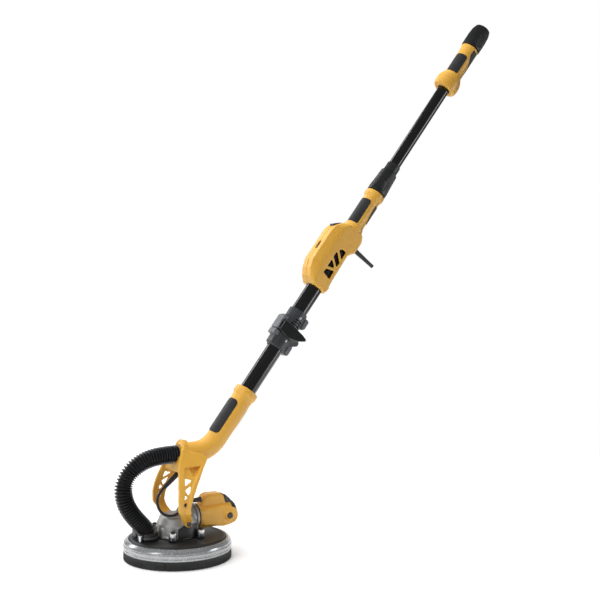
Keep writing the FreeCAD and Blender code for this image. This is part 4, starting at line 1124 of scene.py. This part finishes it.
@dataclass
class FoldJoint:
    """Two clamp sleeves on a hinge under the boom, the cam lever across them, and their screws."""

    sleeve: float = 23.6
    hinge: Pair = (33.0, 625.0)
    knuckle_radius: float = 8.0
    lever_at: float = 639.3

    def clamp(self, first: float, last: float, lugs: Sequence[Pair], outline: Array, block: Array) -> Shell:
        """A sleeve, its block along the top and its lugs, as overlapping solids.

        Args:
            first, last: the stations of the sleeve's ends.
            lugs: where each lug starts and ends across the boom.
            outline, block: the side outlines of a lug and of the block on top.
        """
        ring = rounded([(TUBE_BORE, first), (22.2, first), (self.sleeve, first + 3),
                        (self.sleeve, last - 0.3), (TUBE_BORE, last - 0.3)], [0.2, 0.8, 3, 0.4, 0.2], 5)
        shell = Shell().lathe(BOOM, ring, 72, True)
        shell.plate(BOOM_SIDE, block, -13.5, 13.5, 3.0)
        for low, high in lugs:
            shell.plate(BOOM_SIDE, outline, low, high, 1.4)
        return shell

    def knuckle(self, first: Pair, second: Pair) -> Array:
        """A lug's side outline: round about the hinge, drawn in to two points on the sleeve."""
        x, t = self.hinge
        start = math.atan2(first[1] - t, first[0] - x)
        end = math.atan2(second[1] - t, second[0] - x)
        way = 1.0 if first[1] < t else -1.0
        first_angle, last_angle = start + way * 1.1, end - way * 1.1
        if way > 0 and last_angle < first_angle:
            last_angle += 2 * math.pi
        if way < 0 and last_angle > first_angle:
            last_angle -= 2 * math.pi
        arc = np.linspace(first_angle, last_angle, 24)
        nose = np.column_stack((x + self.knuckle_radius * np.cos(arc),
                                t + self.knuckle_radius * np.sin(arc)))
        return np.vstack(([first], nose, [second]))

    def build(self) -> None:
        """Make both clamps, the lever and the screws."""
        low_lug = self.knuckle((16, 603), (16, 621.5))
        high_lug = self.knuckle((16, 646), (16, 629))
        low_block = rounded([(-16, 589), (-25.5, 590), (-26, 609), (-32, 612), (-32, 624.6),
                             (-16, 624.6)], [1, 2, 1, 1, 0.5, 1], 4)
        high_block = rounded([(-16, 625.4), (-33, 625.4), (-33, 661), (-28, 668), (-16, 668)],
                             [1, 0.5, 4, 4, 1], 4)
        lower = self.clamp(586, 625, ((-14.0, -8.2), (8.2, 14.0)), low_lug, low_block)
        upper = self.clamp(625.3, 693, ((-7.8, 7.8),), high_lug, high_block)
        low_ear = rounded([(15, 587), (31, 587), (33, 590), (33, 611), (29, 615), (15, 615)],
                          [1, 2, 2, 3, 3, 1], 4)
        high_ear = rounded([(15, 660), (28, 660), (33, 665), (33, 684), (30, 688), (15, 688)],
                           [1, 3, 3, 3, 3, 1], 4)
        lower.plate(BOOM_SIDE, low_ear, -12.4, 12.4, 1.6)
        upper.plate(BOOM_SIDE, high_ear, -12.4, 12.4, 1.6)
        for low, high in ((625.5, 628.0), (650.8, 653.2)):
            upper.plate(BOOM.moved(z=low), rounded([(-33, -21), (-16, -21), (-16, 5), (-33, 5)], 2, 4),
                        0.0, high - low, 0.6)
        bore = rod(TUBE_BORE, 575.0, 705.0)
        hollow, grooves = Shell().lathe(BOOM, bore, 72), Shell().lathe(BOOM, bore, 72)
        for station in (655.5, 662.0, 668.5):
            slit = rounded([(-12 + 0.5 * (station - 655), -1.3), (13, -1.3), (13, 1.3), (-12, 1.3)], 0.8, 3)
            grooves.plate(BOOM_SIDE.moved(y=station), slit, 17.0, 26.0, 0.2)
        made = moulded("clamp_lower", lower, hollow, 0.9, 3)
        dress(made, SLATE_NYLON, "boom", "grey_plastic", "fold_clamp_lower", crease=60)
        made = moulded("clamp_upper", upper, grooves, 0.9, 3)
        dress(made, SLATE_NYLON, "upper_boom", "grey_plastic", "fold_clamp_upper", crease=60)
        self.cover_blocks()
        self.lever()
        self.hardware()

    def cover_blocks(self) -> None:
        """The lighter grey rails over the clamps' tops, and the plates on the sides of their ears."""
        low = rounded([(-20, 610.5), (-33, 610.5), (-34.2, 612), (-34.2, 624.3), (-20, 624.3)],
                      [1, 1, 1, 0.8, 1], 5)
        high = rounded([(-20, 625.7), (-34.2, 625.7), (-34.2, 661), (-31.5, 664), (-20, 664)],
                       [1, 0.8, 2, 2, 1], 5)
        for name, outline, body in (("rail_lower", low, "boom"), ("rail_upper", high, "upper_boom")):
            made = moulded(name, Shell().plate(BOOM_SIDE, outline, -14.6, 14.6, 2.0), None, 0.8, 2)
            dress(made, GREY_NYLON, body, "grey_plastic", crease=60)
        low = rounded([(21, 590), (30, 589), (32.4, 591), (32.4, 608), (29, 612.5), (21, 609)], 2.0, 4)
        high = rounded([(21, 666), (28, 661.5), (32.4, 666), (32.4, 683), (29.5, 687), (21, 685)], 2.0, 4)
        for name, outline, body in (("ear_plates_lower", low, "boom"),
                                    ("ear_plates_upper", high, "upper_boom")):
            plates = Shell().plate(BOOM_SIDE, outline, 12.0, 13.4, 0.6)
            plates.plate(BOOM_SIDE, outline, -13.4, -12.0, 0.6)
            dress(plain(name, plates), GREY_NYLON, body, "grey_plastic")

    def lever(self) -> None:
        """The cam lever: a band round the near side, drawn out to a thumb tip that narrows."""
        q = np.radians(np.linspace(-54, -150, 24))
        inner = np.stack((25.6 * np.cos(q), 25.6 * np.sin(q)), 1)
        outer = rounded([(-31, -19), (-23, -23), (0, -28), (27, -32), (39, -33.6), (42.4, -32.4),
                         (40, -29.4), (30, -25.6), (18, -22)], [3, 6, 20, 10, 3, 1.2, 5, 8, 2], 5,
                        closed=False)
        axes = BOOM.moved(z=self.lever_at)
        low, high = -13.2, 10.6
        shell = Shell().plate(axes, np.vstack((outer, inner)), low, high, 1.2, steps=4)
        eye = rounded([(0, -13.0), (4.6, -13.0), (4.6, 10.4), (0, 10.4)], [0.1, 1, 1, 0.1], closed=False)
        shell.lathe(axes.moved(x=-29, y=-17), eye, 32)
        mesh = to_mesh("lever", shell, [((0, 0, 0), (0, 1, 0))])
        local = (points_of(mesh) / MM - np.array(BOOM.origin)) @ np.array((BOOM.x, BOOM.y, BOOM.z)).T
        share = (local[:, 2] - self.lever_at - low) / (high - low)
        bottom = np.interp(local[:, 0], [-30, -18, 0, 10, 17, 21, 26, 34, 44],
                           [628, 622, 619.5, 618, 616, 621, 627, 634, 638.5])
        top = np.interp(local[:, 0], [-30, 0, 21, 30, 44], [650, 650, 648.5, 646, 642])
        local[:, 2] = bottom + share * (top - bottom)
        mesh.vertices.foreach_set("co", BOOM.place(local).ravel())
        made = to_object("cam_lever", mesh)
        skin = made.modifiers.new("skin", "REMESH")
        skin.mode = "VOXEL"
        skin.voxel_size = 0.7 * MM
        soft = made.modifiers.new("soft", "SMOOTH")
        soft.iterations = 4
        settled(made)
        dress(made, GLOSS_ABS, "latch", "black_plastic", "latch_lever", crease=60)

    def hardware(self) -> None:
        """Two bright screws on the near face, the hinge pin and the lever's pin."""
        for name, station, x, body in (("clamp_screw_lower", 611.7, 2.0, "boom"),
                                       ("clamp_screw_upper", 676.5, 1.0, "upper_boom")):
            depth = math.sqrt(self.sleeve ** 2 - x ** 2)
            axes = BOOM_SIDE.moved(x, station, depth - 0.7)
            dress(plain(name, screw_head(Shell(), axes, 3.0, 2.0)), ZINC_STEEL, body, "zinc_steel")
        keep_node("fold_hinge_pin", SLATE_NYLON)
        keep_node("latch_pin", ZINC_STEEL)


# ---------------------------------------------------------------- control housing

@dataclass
class ControlHousing:
    """The two-part housing on the upper boom, with its vents, switch, speed wheel and cord guard."""

    half: float = 27.0
    wall: float = 3.0
    first: float = 763.0
    last: float = 938.0
    guard_at: float = 905.0

    def outline(self) -> tuple[Array, Array]:
        """The housing's side outline as (underside, station), and its corners' radii."""
        corners = [(-20, self.first), (-35, 772), (-46, 790), (-53, 812), (-53, 897), (-49.5, 914),
                   (-38, 930), (-27, 937), (18, self.last), (27, 934), (33, 922), (33.5, 892), (27, 884),
                   (20, 874), (22, 800), (24, 778), (23, self.first)]
        radii = [3, 8, 14, 10, 14, 8, 10, 8, 10, 8, 8, 8, 5, 10, 20, 8, 4]
        return np.array(corners, float), np.array(radii, float)

    def windows(self) -> list[Array]:
        """The four vents of a side, a slanted row of bars with softened corners."""
        drawn = [[(-14.6, 811.5), (6.5, 819.7), (6.9, 797.2), (-15.7, 801.3)],
                 [(-15.4, 839.6), (1.6, 826.6), (-15.3, 819.6)],
                 [(-15.3, 862.1), (6.1, 845.2), (6.4, 831.6), (-16.0, 847.7)],
                 [(-12.2, 869.3), (-4.8, 875.4), (6.3, 875.2), (6.3, 854.5)]]
        return [inset(rounded(corners, 1.4, 4), -0.6) for corners in drawn]

    def level(self, across: float) -> Array:
        """The side outline at a distance from the middle plane.

        The top is hipped: flat to 18 mm from the middle, then falling ever more steeply to the side
        face, whose corners above x = -20 are drawn in by the same share. The underside rises too.
        """
        corners, radii = self.outline()
        moved = corners.copy()
        top = np.interp(across, [18, 19, 21, 23, 24.5, 25.7, 26.6, 27],
                        [-56, -55.2, -50.5, -46, -42, -38, -33, -28.5])
        share = (top + 20.0) / -33.0
        moved[:, 0] = np.where(moved[:, 0] < -20, -20 + (moved[:, 0] + 20) * share, moved[:, 0])
        lift = np.interp(across, [0, 14, 20, 25, 27], [0, 0, 2.6, 5.0, 7.0])
        moved[:, 0] = np.where(moved[:, 0] > 19, moved[:, 0] - lift, moved[:, 0])
        ends = 2.0 * smoothstep(self.half - 3.0, self.half, across)
        moved[:, 1] = np.clip(moved[:, 1], self.first + ends, self.last - ends)
        return rounded(moved, radii, 5)

    def half_shell(self, sign: float) -> bpy.types.Object:
        """One half: levels of the outline stacked from the seam to the side face, then hollowed."""
        axes = Axes(BOOM.origin, BOOM.x, BOOM.z, tuple(sign * np.array(BOOM.y)))
        levels = [0.12, 8.0, 14.0, 18.0, 19.0, 20.2, 21.6, 23.0, 24.5, 25.7, 26.6, 27.0]
        shell = Shell().stacked(axes, [lifted(self.level(at), at) for at in levels])
        lip = rounded([(-22, 768), (18.5, 766), (20.5, 781), (-22, 781)], 3, 4)
        shell.plate(axes, lip, self.half - 6.0, self.half + 0.7, 1.4)
        tools = Shell()
        core = inset(self.level(self.half), 2.4)
        tools.prism(axes, core, -5.0, self.half - self.wall)
        for loop in self.windows():
            tools.prism(axes, loop, self.half - 6.0, self.half + 4.0)
        tools.lathe(BOOM, rod(19.85, 740.0, 960.0), 64)
        tools.prism(axes, rounded([(-62, 843), (-20, 843), (-20, 864), (-62, 864)], 1.5, 4), -6.0, 5.2)
        guard = rod(6.1, 18.0, 40.0)
        tools.lathe(self.guard_axes(), guard, 40)
        name = "housing_near" if sign < 0 else "housing_far"
        return moulded(name, shell, tools, 1.1, 3)

    def build(self) -> None:
        """Make the halves, the cord guard, the switch and the wheel."""
        for sign, node in ((-1.0, "control_housing_near"), (1.0, "control_housing_far")):
            dress(self.half_shell(sign), YELLOW_ABS, "upper_boom", "yellow_abs", node, crease=60)
        self.guard()
        self.switch()
        self.wheel()
        keep_node("control_board", BOARD)

    def guard_axes(self) -> Axes:
        """Axes whose z is the cord guard's line, straight out of the underside."""
        return Axes(BOOM.moved(z=self.guard_at).origin, BOOM.y, BOOM.z, BOOM.x)

    def guard(self) -> None:
        """The rubber cord guard: a tapering sleeve with ribs, its bore open."""
        along = np.linspace(22.3, 102.8, 110)
        taper = 6.0 - 1.4 * smoothstep(33, 103, along)
        ribs = 0.4 * (0.5 + 0.5 * np.cos((along - 40) * 2 * np.pi / 4.4)) * smoothstep(38, 42, along)
        outer = np.stack((taper - ribs * smoothstep(100, 98, along), along), 1)
        inner = np.array([(3.6, 102.8), (3.6, 22.3)])
        shell = Shell().lathe(self.guard_axes(), np.vstack((outer, inner)), 40, True)
        dress(plain("cord_guard_sleeve", shell), SOFT_TPE, "upper_boom", "black_rubber", "cord_guard")

    def switch_axes(self) -> Axes:
        """Axes standing on the bevel that carries the switch, z square to the bevel."""
        return BOOM.moved(-45.1, 0, 922.1).turned(1, -45)

    def switch(self) -> None:
        """A rocker with two tilted faces in a raised frame."""
        axes = self.switch_axes()
        frame_loop = rounded([(-13, -9), (13, -9), (13, 9), (-13, 9)], 2.2, 5)
        hole = rounded([(-10, -7.2), (10, -7.2), (10, 7.2), (-10, 7.2)], 1.0, 5)
        dress(plain("switch_bezel", Shell().plate(axes, frame_loop, -9.0, 2.4, 0.9, [hole])), BLACK_NYLON,
              "upper_boom", "black_plastic", "switch_frame")
        face = [(-9.4, -2), (-9.4, 2.6), (-0.4, 0.9), (8.8, 1.4), (9.4, -2), (5, -8.4), (-5, -8.4)]
        side = Axes(axes.origin, axes.x, axes.z, tuple(-np.array(axes.y)))
        dress(plain("rocker_key", Shell().plate(side, rounded(face, [1, 1, 6, 1, 1, 3, 3], 5), -6.9, 6.9,
                                                0.8)), GLOSS_ABS, "rocker", "black_plastic",
              "power_rocker")

    def wheel(self) -> None:
        """The speed wheel: a thumb wheel with thirty-two teeth round its rim."""
        axes = Axes(BOOM.moved(x=-42.5, z=853).origin, BOOM.z, BOOM.x, BOOM.y)
        axle = rounded([(0, -12.5), (1.98, -12.5), (1.98, 12.5), (0, 12.5)], [0.1, 0.4, 0.4, 0.1], 4,
                       closed=False)
        dress(plain("wheel_axle", Shell().lathe(axes, axle, 32)), ZINC_STEEL, "upper_boom", "zinc_steel",
              "speed_wheel_axle")
        profile = rounded([(2.05, -3.8), (12.0, -3.8), (12.0, 3.8), (2.05, 3.8)], [0.2, 0.9, 0.9, 0.2], 5)

        def teeth(angle: Array, at: Array) -> Array:
            """Knurls on the rim only."""
            return 0.45 * (np.cos(32 * angle) - 1) * (profile[:, :1] > 11.0)
        dress(plain("speed_wheel_rim", Shell().lathe(axes, profile, 256, True, teeth)), BLACK_NYLON,
              "dial", "black_plastic", "speed_wheel", crease=50)


# ---------------------------------------------------------------- sanding head

@dataclass
class SandingHead:
    """Cover disc, floating ring with its bristles, gear case, dust port, spring posts and pad."""

    posts: tuple[float, ...] = (55.0, 125.0, 235.0, 305.0)
    reach: float = 60.0
    tufts: int = 540
    slit: float = -128.0

    def cover(self) -> None:
        """The cover disc: a dished lip, two faint steps and a raised seat for the gear case."""
        line = rounded([(20, 46.9), (100, 46.9), (107, 43.8), (107, 41), (109.6, 41), (109.6, 45.2),
                        (106.6, 49.2), (103.5, 50), (99, 48.6), (62, 48.6), (58, 50), (20, 50)],
                       [0.5, 2, 1.5, 0.6, 0.8, 2.0, 2.0, 1.4, 1.5, 1.2, 1.2, 0.5], 5)
        dress(plain("cover_disc", Shell().lathe(GROUND, line, 160, True)), COVER_NYLON, "head",
              "black_plastic", "cover_plate", crease=40)

    def ring(self) -> None:
        """The floating ring: a stepped outer wall, a sloping shoulder and an inner web."""
        line = rounded([(46, 31), (117.6, 31), (117.6, 20.02), (122.2, 20.02), (122.6, 24.6),
                        (121.6, 25.3), (121.6, 26.6), (123.0, 27.3), (123.0, 33.4), (121.4, 34.2),
                        (121.4, 35.4), (122.4, 36.2), (121.4, 40.4), (115.2, 46.0), (111, 46.0),
                        (111, 43.2), (115, 40.2), (117.6, 34), (46, 34)],
                       [0.4, 1, 0.4, 0.8, 0.6, 0.3, 0.3, 0.5, 0.5, 0.3, 0.3, 0.5, 3.0, 1.6, 0.8, 0.6, 1,
                        1, 0.4], 5)
        dress(plain("skirt_ring", Shell().lathe(GROUND, line, 192, True)), SILVER_RING, "brush_ring",
              "silver_plastic", "brush_ring", crease=35)

    def bristles(self) -> None:
        """A skirt of tufts round the ring, parted at one slit: radius and length ripple from tuft to tuft."""
        angle = angles(4 * self.tufts)[None, :]
        tuft = 0.5 + 0.5 * np.cos(angle * self.tufts)
        uneven = 0.5 * np.sin(angle * 71 + 1.0) + 0.5 * np.sin(angle * 113)
        from_slit = np.mod(angle - math.radians(self.slit) + np.pi, 2 * np.pi) - np.pi
        gap = 1.0 - np.exp(-(from_slit / 0.008) ** 2)
        levels = np.array([(117.4, 20.6, 0), (122.2, 20.6, 0), (122.5, 14, 1), (122.7, 6, 1),
                           (122.5, 0.4, 1), (121.0, 0.0, 1), (117.0, 0.0, 0.3), (115.4, 1.0, 0)])
        share = levels[:, 2:3]
        radius = levels[:, :1] - share * (0.75 * (1 - tuft) + 0.12 * uneven) - share * 4.2 * (1 - gap)
        height = levels[:, 1:2] + np.where(levels[:, 1:2] < 0.5, 0.35 + 0.3 * uneven, 0.0) * share
        points = np.stack((radius * np.cos(angle), radius * np.sin(angle), height + 0 * angle), -1)
        dress(plain("bristle_tufts", Shell().grid(GROUND.place(points), True, True)), BRISTLE_NYLON,
              "brush_ring", "bristle_nylon", "bristle_skirt", crease=80)

    def kept(self) -> None:
        """The CAD nodes that stay as they are: pad and paper, gears, motor parts, pins and springs."""
        for node, finish in (("backing_pad", PAD_FOAM), ("abrasive_disc", ABRASIVE),
                             ("spindle", ZINC_STEEL), ("crown_gear", ZINC_STEEL), ("pinion", ZINC_STEEL),
                             ("armature", COPPER), ("bearings", ZINC_STEEL), ("stator", COPPER),
                             ("guide_pins", ZINC_STEEL), ("ring_springs", ZINC_STEEL),
                             ("guide_bush", BLACK_NYLON)):
            keep_node(node, finish)

    def case(self) -> None:
        """The cast gear case: a drum with a sloping top, a snout for the motor and two pivot bosses."""
        solids = Shell().lathe(GROUND, rounded([(0, 50.1), (48.5, 50.1), (48.5, 54), (47, 56), (47, 80),
                                                (38, 98), (0, 98)], [0.1, 1, 1.5, 2, 5, 5, 0.1], 5,
                                               closed=False), 96)
        solids.lathe(MOTOR, rounded([(0, 6), (27, 6), (27, 38), (0, 38)], [0.1, 4, 0.5, 0.1], 4,
                                    closed=False), 64)
        for sign in (-1.0, 1.0):
            axes = outward(sign, PIVOT_X, PIVOT_Z)
            solids.lathe(axes, rounded([(0, 26), (11, 26), (11, 46.6), (0, 46.6)], [0.1, 1, 1.2, 0.1], 4,
                                       closed=False), 40)
        wedge = rounded([(-44, 64), (-36, 100), (-6, 103), (6, 90), (6, 64)], [3, 6, 5, 3, 3], 5)
        solids.plate(NEAR, wedge, -20.0, 20.0, 4.0)
        for turn_to in (200, 160, 232, 128, 262, 98):  # the bolt lobes, the two at the port taller
            lobe = circle(4.6, 20, *polar(45.5, turn_to))
            solids.plate(GROUND, lobe, 50.2, 74.0 if turn_to in (200, 160) else 62.0, 1.2)
        tools = Shell()
        tools.lathe(MOTOR, np.array([(0, -5.0), (12, -5), (12, 18), (22, 18), (22, 45), (0, 45)]), 56)
        tools.lathe(GROUND, np.array([(0, 45.0), (14.05, 45), (14.05, 67.5), (34, 67.5), (34, 82.5),
                                      (0, 82.5)]), 72)
        tools.lathe(GROUND, np.array([(18, 57.0), (38, 57), (38, 80), (34, 82.5), (34, 67.4),
                                      (18, 67.4)]), 72, True)
        clear = rounded([(38.0, 57), (60, 57), (60, 130), (38.0, 130)], 0.5, 3)
        tools.plate(NEAR, clear, -60, 60, 0.2)
        for sign in (-1.0, 1.0):
            axes = outward(sign, PIVOT_X, PIVOT_Z)
            tools.lathe(axes, rod(4.1, 36.0, 50.0), 32)
        dress(moulded("gear_casting", solids, tools, 1.15, 3), CAST_ALUMINIUM, "head", "cast_aluminium",
              "gear_case", crease=60)

    def painted_shade_plate(self) -> None:
        """The dark curved plate on the case's near side, beside the motor's flange: painted shade, a black
        sheet standing for the shade on that side of the case.
        """
        angle = np.radians(np.linspace(-113, -52, 40))
        low = 52.5 + 0 * angle
        high = 83 - 9 * smoothstep(-95, -113, np.degrees(angle))
        profile = []
        for radius, at in ((48.7, low), (50.0, low + 0.6), (50.2, high - 1.2), (49.6, high), (48.7, high)):
            profile.append(np.column_stack((radius * np.cos(angle), radius * np.sin(angle), at)))
        # painted shade: this black plate stands for the shade on the case's near side
        dress(plain("case_painted_shade_plate", Shell().stacked(GROUND, np.stack(profile, 1))), BLACK_NYLON, "head",
              "black_plastic")

    def port(self) -> None:
        """The dust port: a clamped cuff round the hose's foot, a bracket and a bolt."""
        axes = GROUND.moved(-73, 0, COVER_TOP)
        cuff = rounded([(15, 0), (23.8, 0), (23.8, 2.0), (22.6, 3.0), (22.6, 15.0), (21.6, 16.5),
                        (19.6, 16.5), (19.2, 3.0), (15, 3.0)],
                       [0.3, 0.8, 0.8, 0.8, 1.0, 0.6, 0.6, 0.4, 0.4], 4)
        dress(plain("port_cuff", Shell().lathe(axes, cuff, 72, True)), BLACK_NYLON, "head",
              "black_plastic", "dust_port")
        band = rounded([(22.4, 4.6), (23.4, 4.6), (23.4, 7.0), (22.4, 7.0)], 0.3, 3)
        dress(plain("port_band", Shell().lathe(axes, band, 72, True)), GREY_NYLON, "head", "grey_plastic")
        box = rounded([(-94, 20), (-76, 20), (-76, 42), (-94, 42)], 3, 5)
        made = moulded("port_bracket", Shell().plate(GROUND, box, COVER_TOP, 74.0, 2.4), None, 0.9, 2)
        dress(made, SLATE_NYLON, "head", "grey_plastic", crease=60)
        bolt = screw_head(Shell(), GROUND.moved(-97, -14, 62.0), 4.8, 2.6)
        bolt.lathe(GROUND.moved(-97, -14, 50.1), rod(4.0, 0.0, 12.2), 32)
        dress(plain("port_bolt", bolt), ZINC_STEEL, "head", "zinc_steel")

    def spring_posts(self) -> None:
        """Four bright spring cups, each with a dark foot and a dark domed cap."""
        cups, dark = Shell(), Shell()
        for angle in self.posts:
            axes = GROUND.moved(*polar(self.reach, angle), COVER_TOP)
            cups.lathe(axes, rounded([(5.2, 3.6), (8.9, 3.6), (8.9, 18.6), (7.8, 19.4), (5.2, 19.4)],
                                     [0.3, 0.5, 0.7, 0.4, 0.3], 4), 48, True)
            dark.lathe(axes, rounded([(5.2, 0), (9.6, 0), (9.6, 2.6), (8.7, 3.5), (5.2, 3.5)],
                                     [0.3, 0.8, 0.8, 0.3, 0.3], 4), 48, True)
            dark.lathe(axes, rounded([(0, 21.4), (4.15, 21.4), (4.15, 17.9), (5.15, 17.9), (5.15, 21.2),
                                      (4.3, 22.3), (0, 22.5)], [0.1, 0.2, 0.1, 0.2, 0.8, 0.8, 0.1], 4,
                                     closed=False), 48)
        dress(plain("spring_barrels", cups), ZINC_STEEL, "head", "zinc_steel", "spring_cups")
        dress(plain("spring_caps", dark), BLACK_NYLON, "head", "black_plastic")

    def pivots(self) -> None:
        """The screws that the head tilts on, dark and recessed, in the arms' feet."""
        shell = Shell()
        for sign in (-1.0, 1.0):
            axes = outward(sign, PIVOT_X, PIVOT_Z, 54.4)
            screw_head(shell, axes, 6.2, 2.2)
            shell.lathe(axes, rod(3.95, -18.0, 0.5), 32)
        dress(plain("pivot_bolts", shell), GLOSS_ABS, "boom", "cap_black", "pivot_screws")

    def build(self) -> None:
        """Make the whole head."""
        self.cover()
        self.ring()
        self.bristles()
        self.kept()
        self.case()
        # painted shade: a black plate on the gear case's near side
        self.painted_shade_plate()
        self.port()
        self.spring_posts()
        self.pivots()


# ---------------------------------------------------------------- motor

@dataclass
class Motor:
    """The motor that lies across the head: flange, gasket, yellow housing with its hump, vented cap."""

    bosses: float = 117.0
    boss_height: float = 87.0

    def housing(self) -> None:
        """Barrel, hump and the two brush-holder bosses grown together, bored for the stator."""
        barrel = rounded([(0, 47.1), (29, 47.1), (29.4, 60), (29, 128), (0, 128)],
                         [0.1, 1.6, 20, 0.6, 0.1], 5, closed=False)
        solids = Shell().lathe(MOTOR, barrel, 96)
        hump = rounded([(53, 96), (56, 124), (64, 135.5), (76, 138), (104, 137), (112, 130), (118, 112),
                        (124, 96)], [3, 8, 10, 10, 8, 8, 8, 3], 6)
        solids.plate(NEAR, hump, -17.0, 17.0, 6.5, steps=6)
        flank = rounded([(50, 70), (50, 108), (108, 111), (124, 106), (131.5, 96), (132, 72), (122, 64),
                         (106, 62)], [3, 6, 10, 8, 8, 8, 8, 8], 5)
        ear = rounded([(100, 104), (122, 107), (136, 101), (141, 92), (141, 79), (134, 69), (116, 65),
                       (100, 70)], [4, 8, 8, 8, 8, 8, 8, 4], 5)
        solids.plate(NEAR, flank, -28.6, 28.6, 5.0, steps=5)
        solids.plate(NEAR, ear, -30.6, 30.6, 3.6, steps=5)
        for sign in (-1.0, 1.0):
            axes = outward(sign, self.bosses, self.boss_height)
            solids.lathe(axes, rounded([(0, 15), (13, 15), (11, 35.5), (0, 35.5)], [0.1, 2, 1.6, 0.1], 4,
                                       closed=False), 56)
        tools = Shell()
        tools.lathe(MOTOR, rod(25.0, 40.0, 135.0), 72)
        tools.plate(NEAR, rounded([(128.2, 50), (150, 50), (150, 130), (128.2, 130)], 0.5, 3), -24.5,
                    24.5, 0.2)
        for sign in (-1.0, 1.0):
            axes = outward(sign, self.bosses, self.boss_height)
            tools.lathe(axes, rod(7.2, 20.0, 45.0), 40)
        dress(moulded("motor_moulding", solids, tools, 1.1, 4), YELLOW_ABS, "head", "yellow_abs",
              "motor_housing", crease=60)

    def cap(self) -> None:
        """The dark end cap: its shoulder slotted between ribs, and a tongue that closes the hump."""
        line = rounded([(25, 128.1), (29.0, 128.1), (28.6, 133), (25.2, 139), (18, 144.4), (8, 145.8),
                        (0, 146), (0, 140.6), (11.05, 140.6), (11.05, 131.6), (14, 131.6), (14, 139),
                        (20, 138), (25, 134)], [0.3, 0.6, 3, 5, 5, 6, 0.1, 0.1, 0.3, 0.3, 0.3, 0.3, 0.3,
                                                0.3], 5, closed=False)

        def vents(angle: Array, at: Array) -> Array:
            """Thirty slots 1.4 deep across the shoulder."""
            inside = smoothstep(130.5, 132, at) * smoothstep(144.5, 142.5, at) * (line[:, :1] > 17.5)
            return -1.4 * smoothstep(0.0, 0.35, np.cos(30 * angle)) * inside
        dress(plain("motor_end_cap", Shell().grid(MOTOR.place(turn(line, 360, vents)), True, True)),
              SLATE_NYLON, "head", "grey_plastic", "motor_cap", crease=45)
        tongue = rounded([(112, 112), (113, 134), (118, 131), (128, 122), (137.5, 109), (134, 106),
                          (126, 112)], [2, 2, 4, 6, 3, 2, 4], 5)
        dress(moulded("motor_tongue", Shell().plate(NEAR, tongue, -15.5, 15.5, 4.5, steps=5), None, 0.9,
                      2), SLATE_NYLON, "head", "grey_plastic", crease=60)

    def fittings(self) -> None:
        """Flange plate, gasket, brush caps and the small screw by the flange."""
        flange = rounded([(11.1, 38.05), (29.6, 38.05), (29.6, 43.6), (11.1, 43.6)], [0.3, 1.0, 1.0, 0.3],
                         4)
        dress(plain("motor_flange_plate", Shell().lathe(MOTOR, flange, 96, True)), CAST_ALUMINIUM, "head",
              "cast_aluminium", "motor_flange")
        gasket = rounded([(14, 43.65), (28.5, 43.65), (28.5, 46.95), (14, 46.95)], 0.5, 3)
        dress(plain("motor_seal", Shell().lathe(MOTOR, gasket, 96, True)), SOFT_TPE, "head",
              "black_rubber", "motor_gasket")
        caps = Shell()
        for sign in (-1.0, 1.0):
            axes = outward(sign, self.bosses, self.boss_height)
            profile = np.vstack((rounded([(0, 30), (6.9, 30), (6.9, 36.2), (2.4, 36.2)],
                                         [0.1, 0.3, 1.2, 0.1], 4, closed=False),
                                 [(2.3, 35.2), (0, 35.2)]))
            caps.lathe(axes, profile, 40)
        dress(plain("brush_plugs", caps), GLOSS_ABS, "head", "cap_black", "brush_caps")
        dress(plain("motor_screw", screw_head(Shell(),
                                              Axes((53, -27.4, 100), (1, 0, 0), (0, 0, 1), (0, -1, 0)),
                                              2.0, 1.0)), ZINC_STEEL, "head", "zinc_steel")

    def build(self) -> None:
        """Make the motor."""
        self.housing()
        self.cap()
        self.fittings()


def main() -> None:
    """Dress the whole tool, one sub-assembly after another."""
    Studio().build()
    SoftParts().build()
    Yoke().body()
    Grips().build()
    Tubes().build()
    FoldJoint().build()
    ControlHousing().build()
    SandingHead().build()
    Motor().build()


if __name__ == "__main__":
    logging.basicConfig(level=logging.INFO, format="%(name)s: %(message)s")
    main()
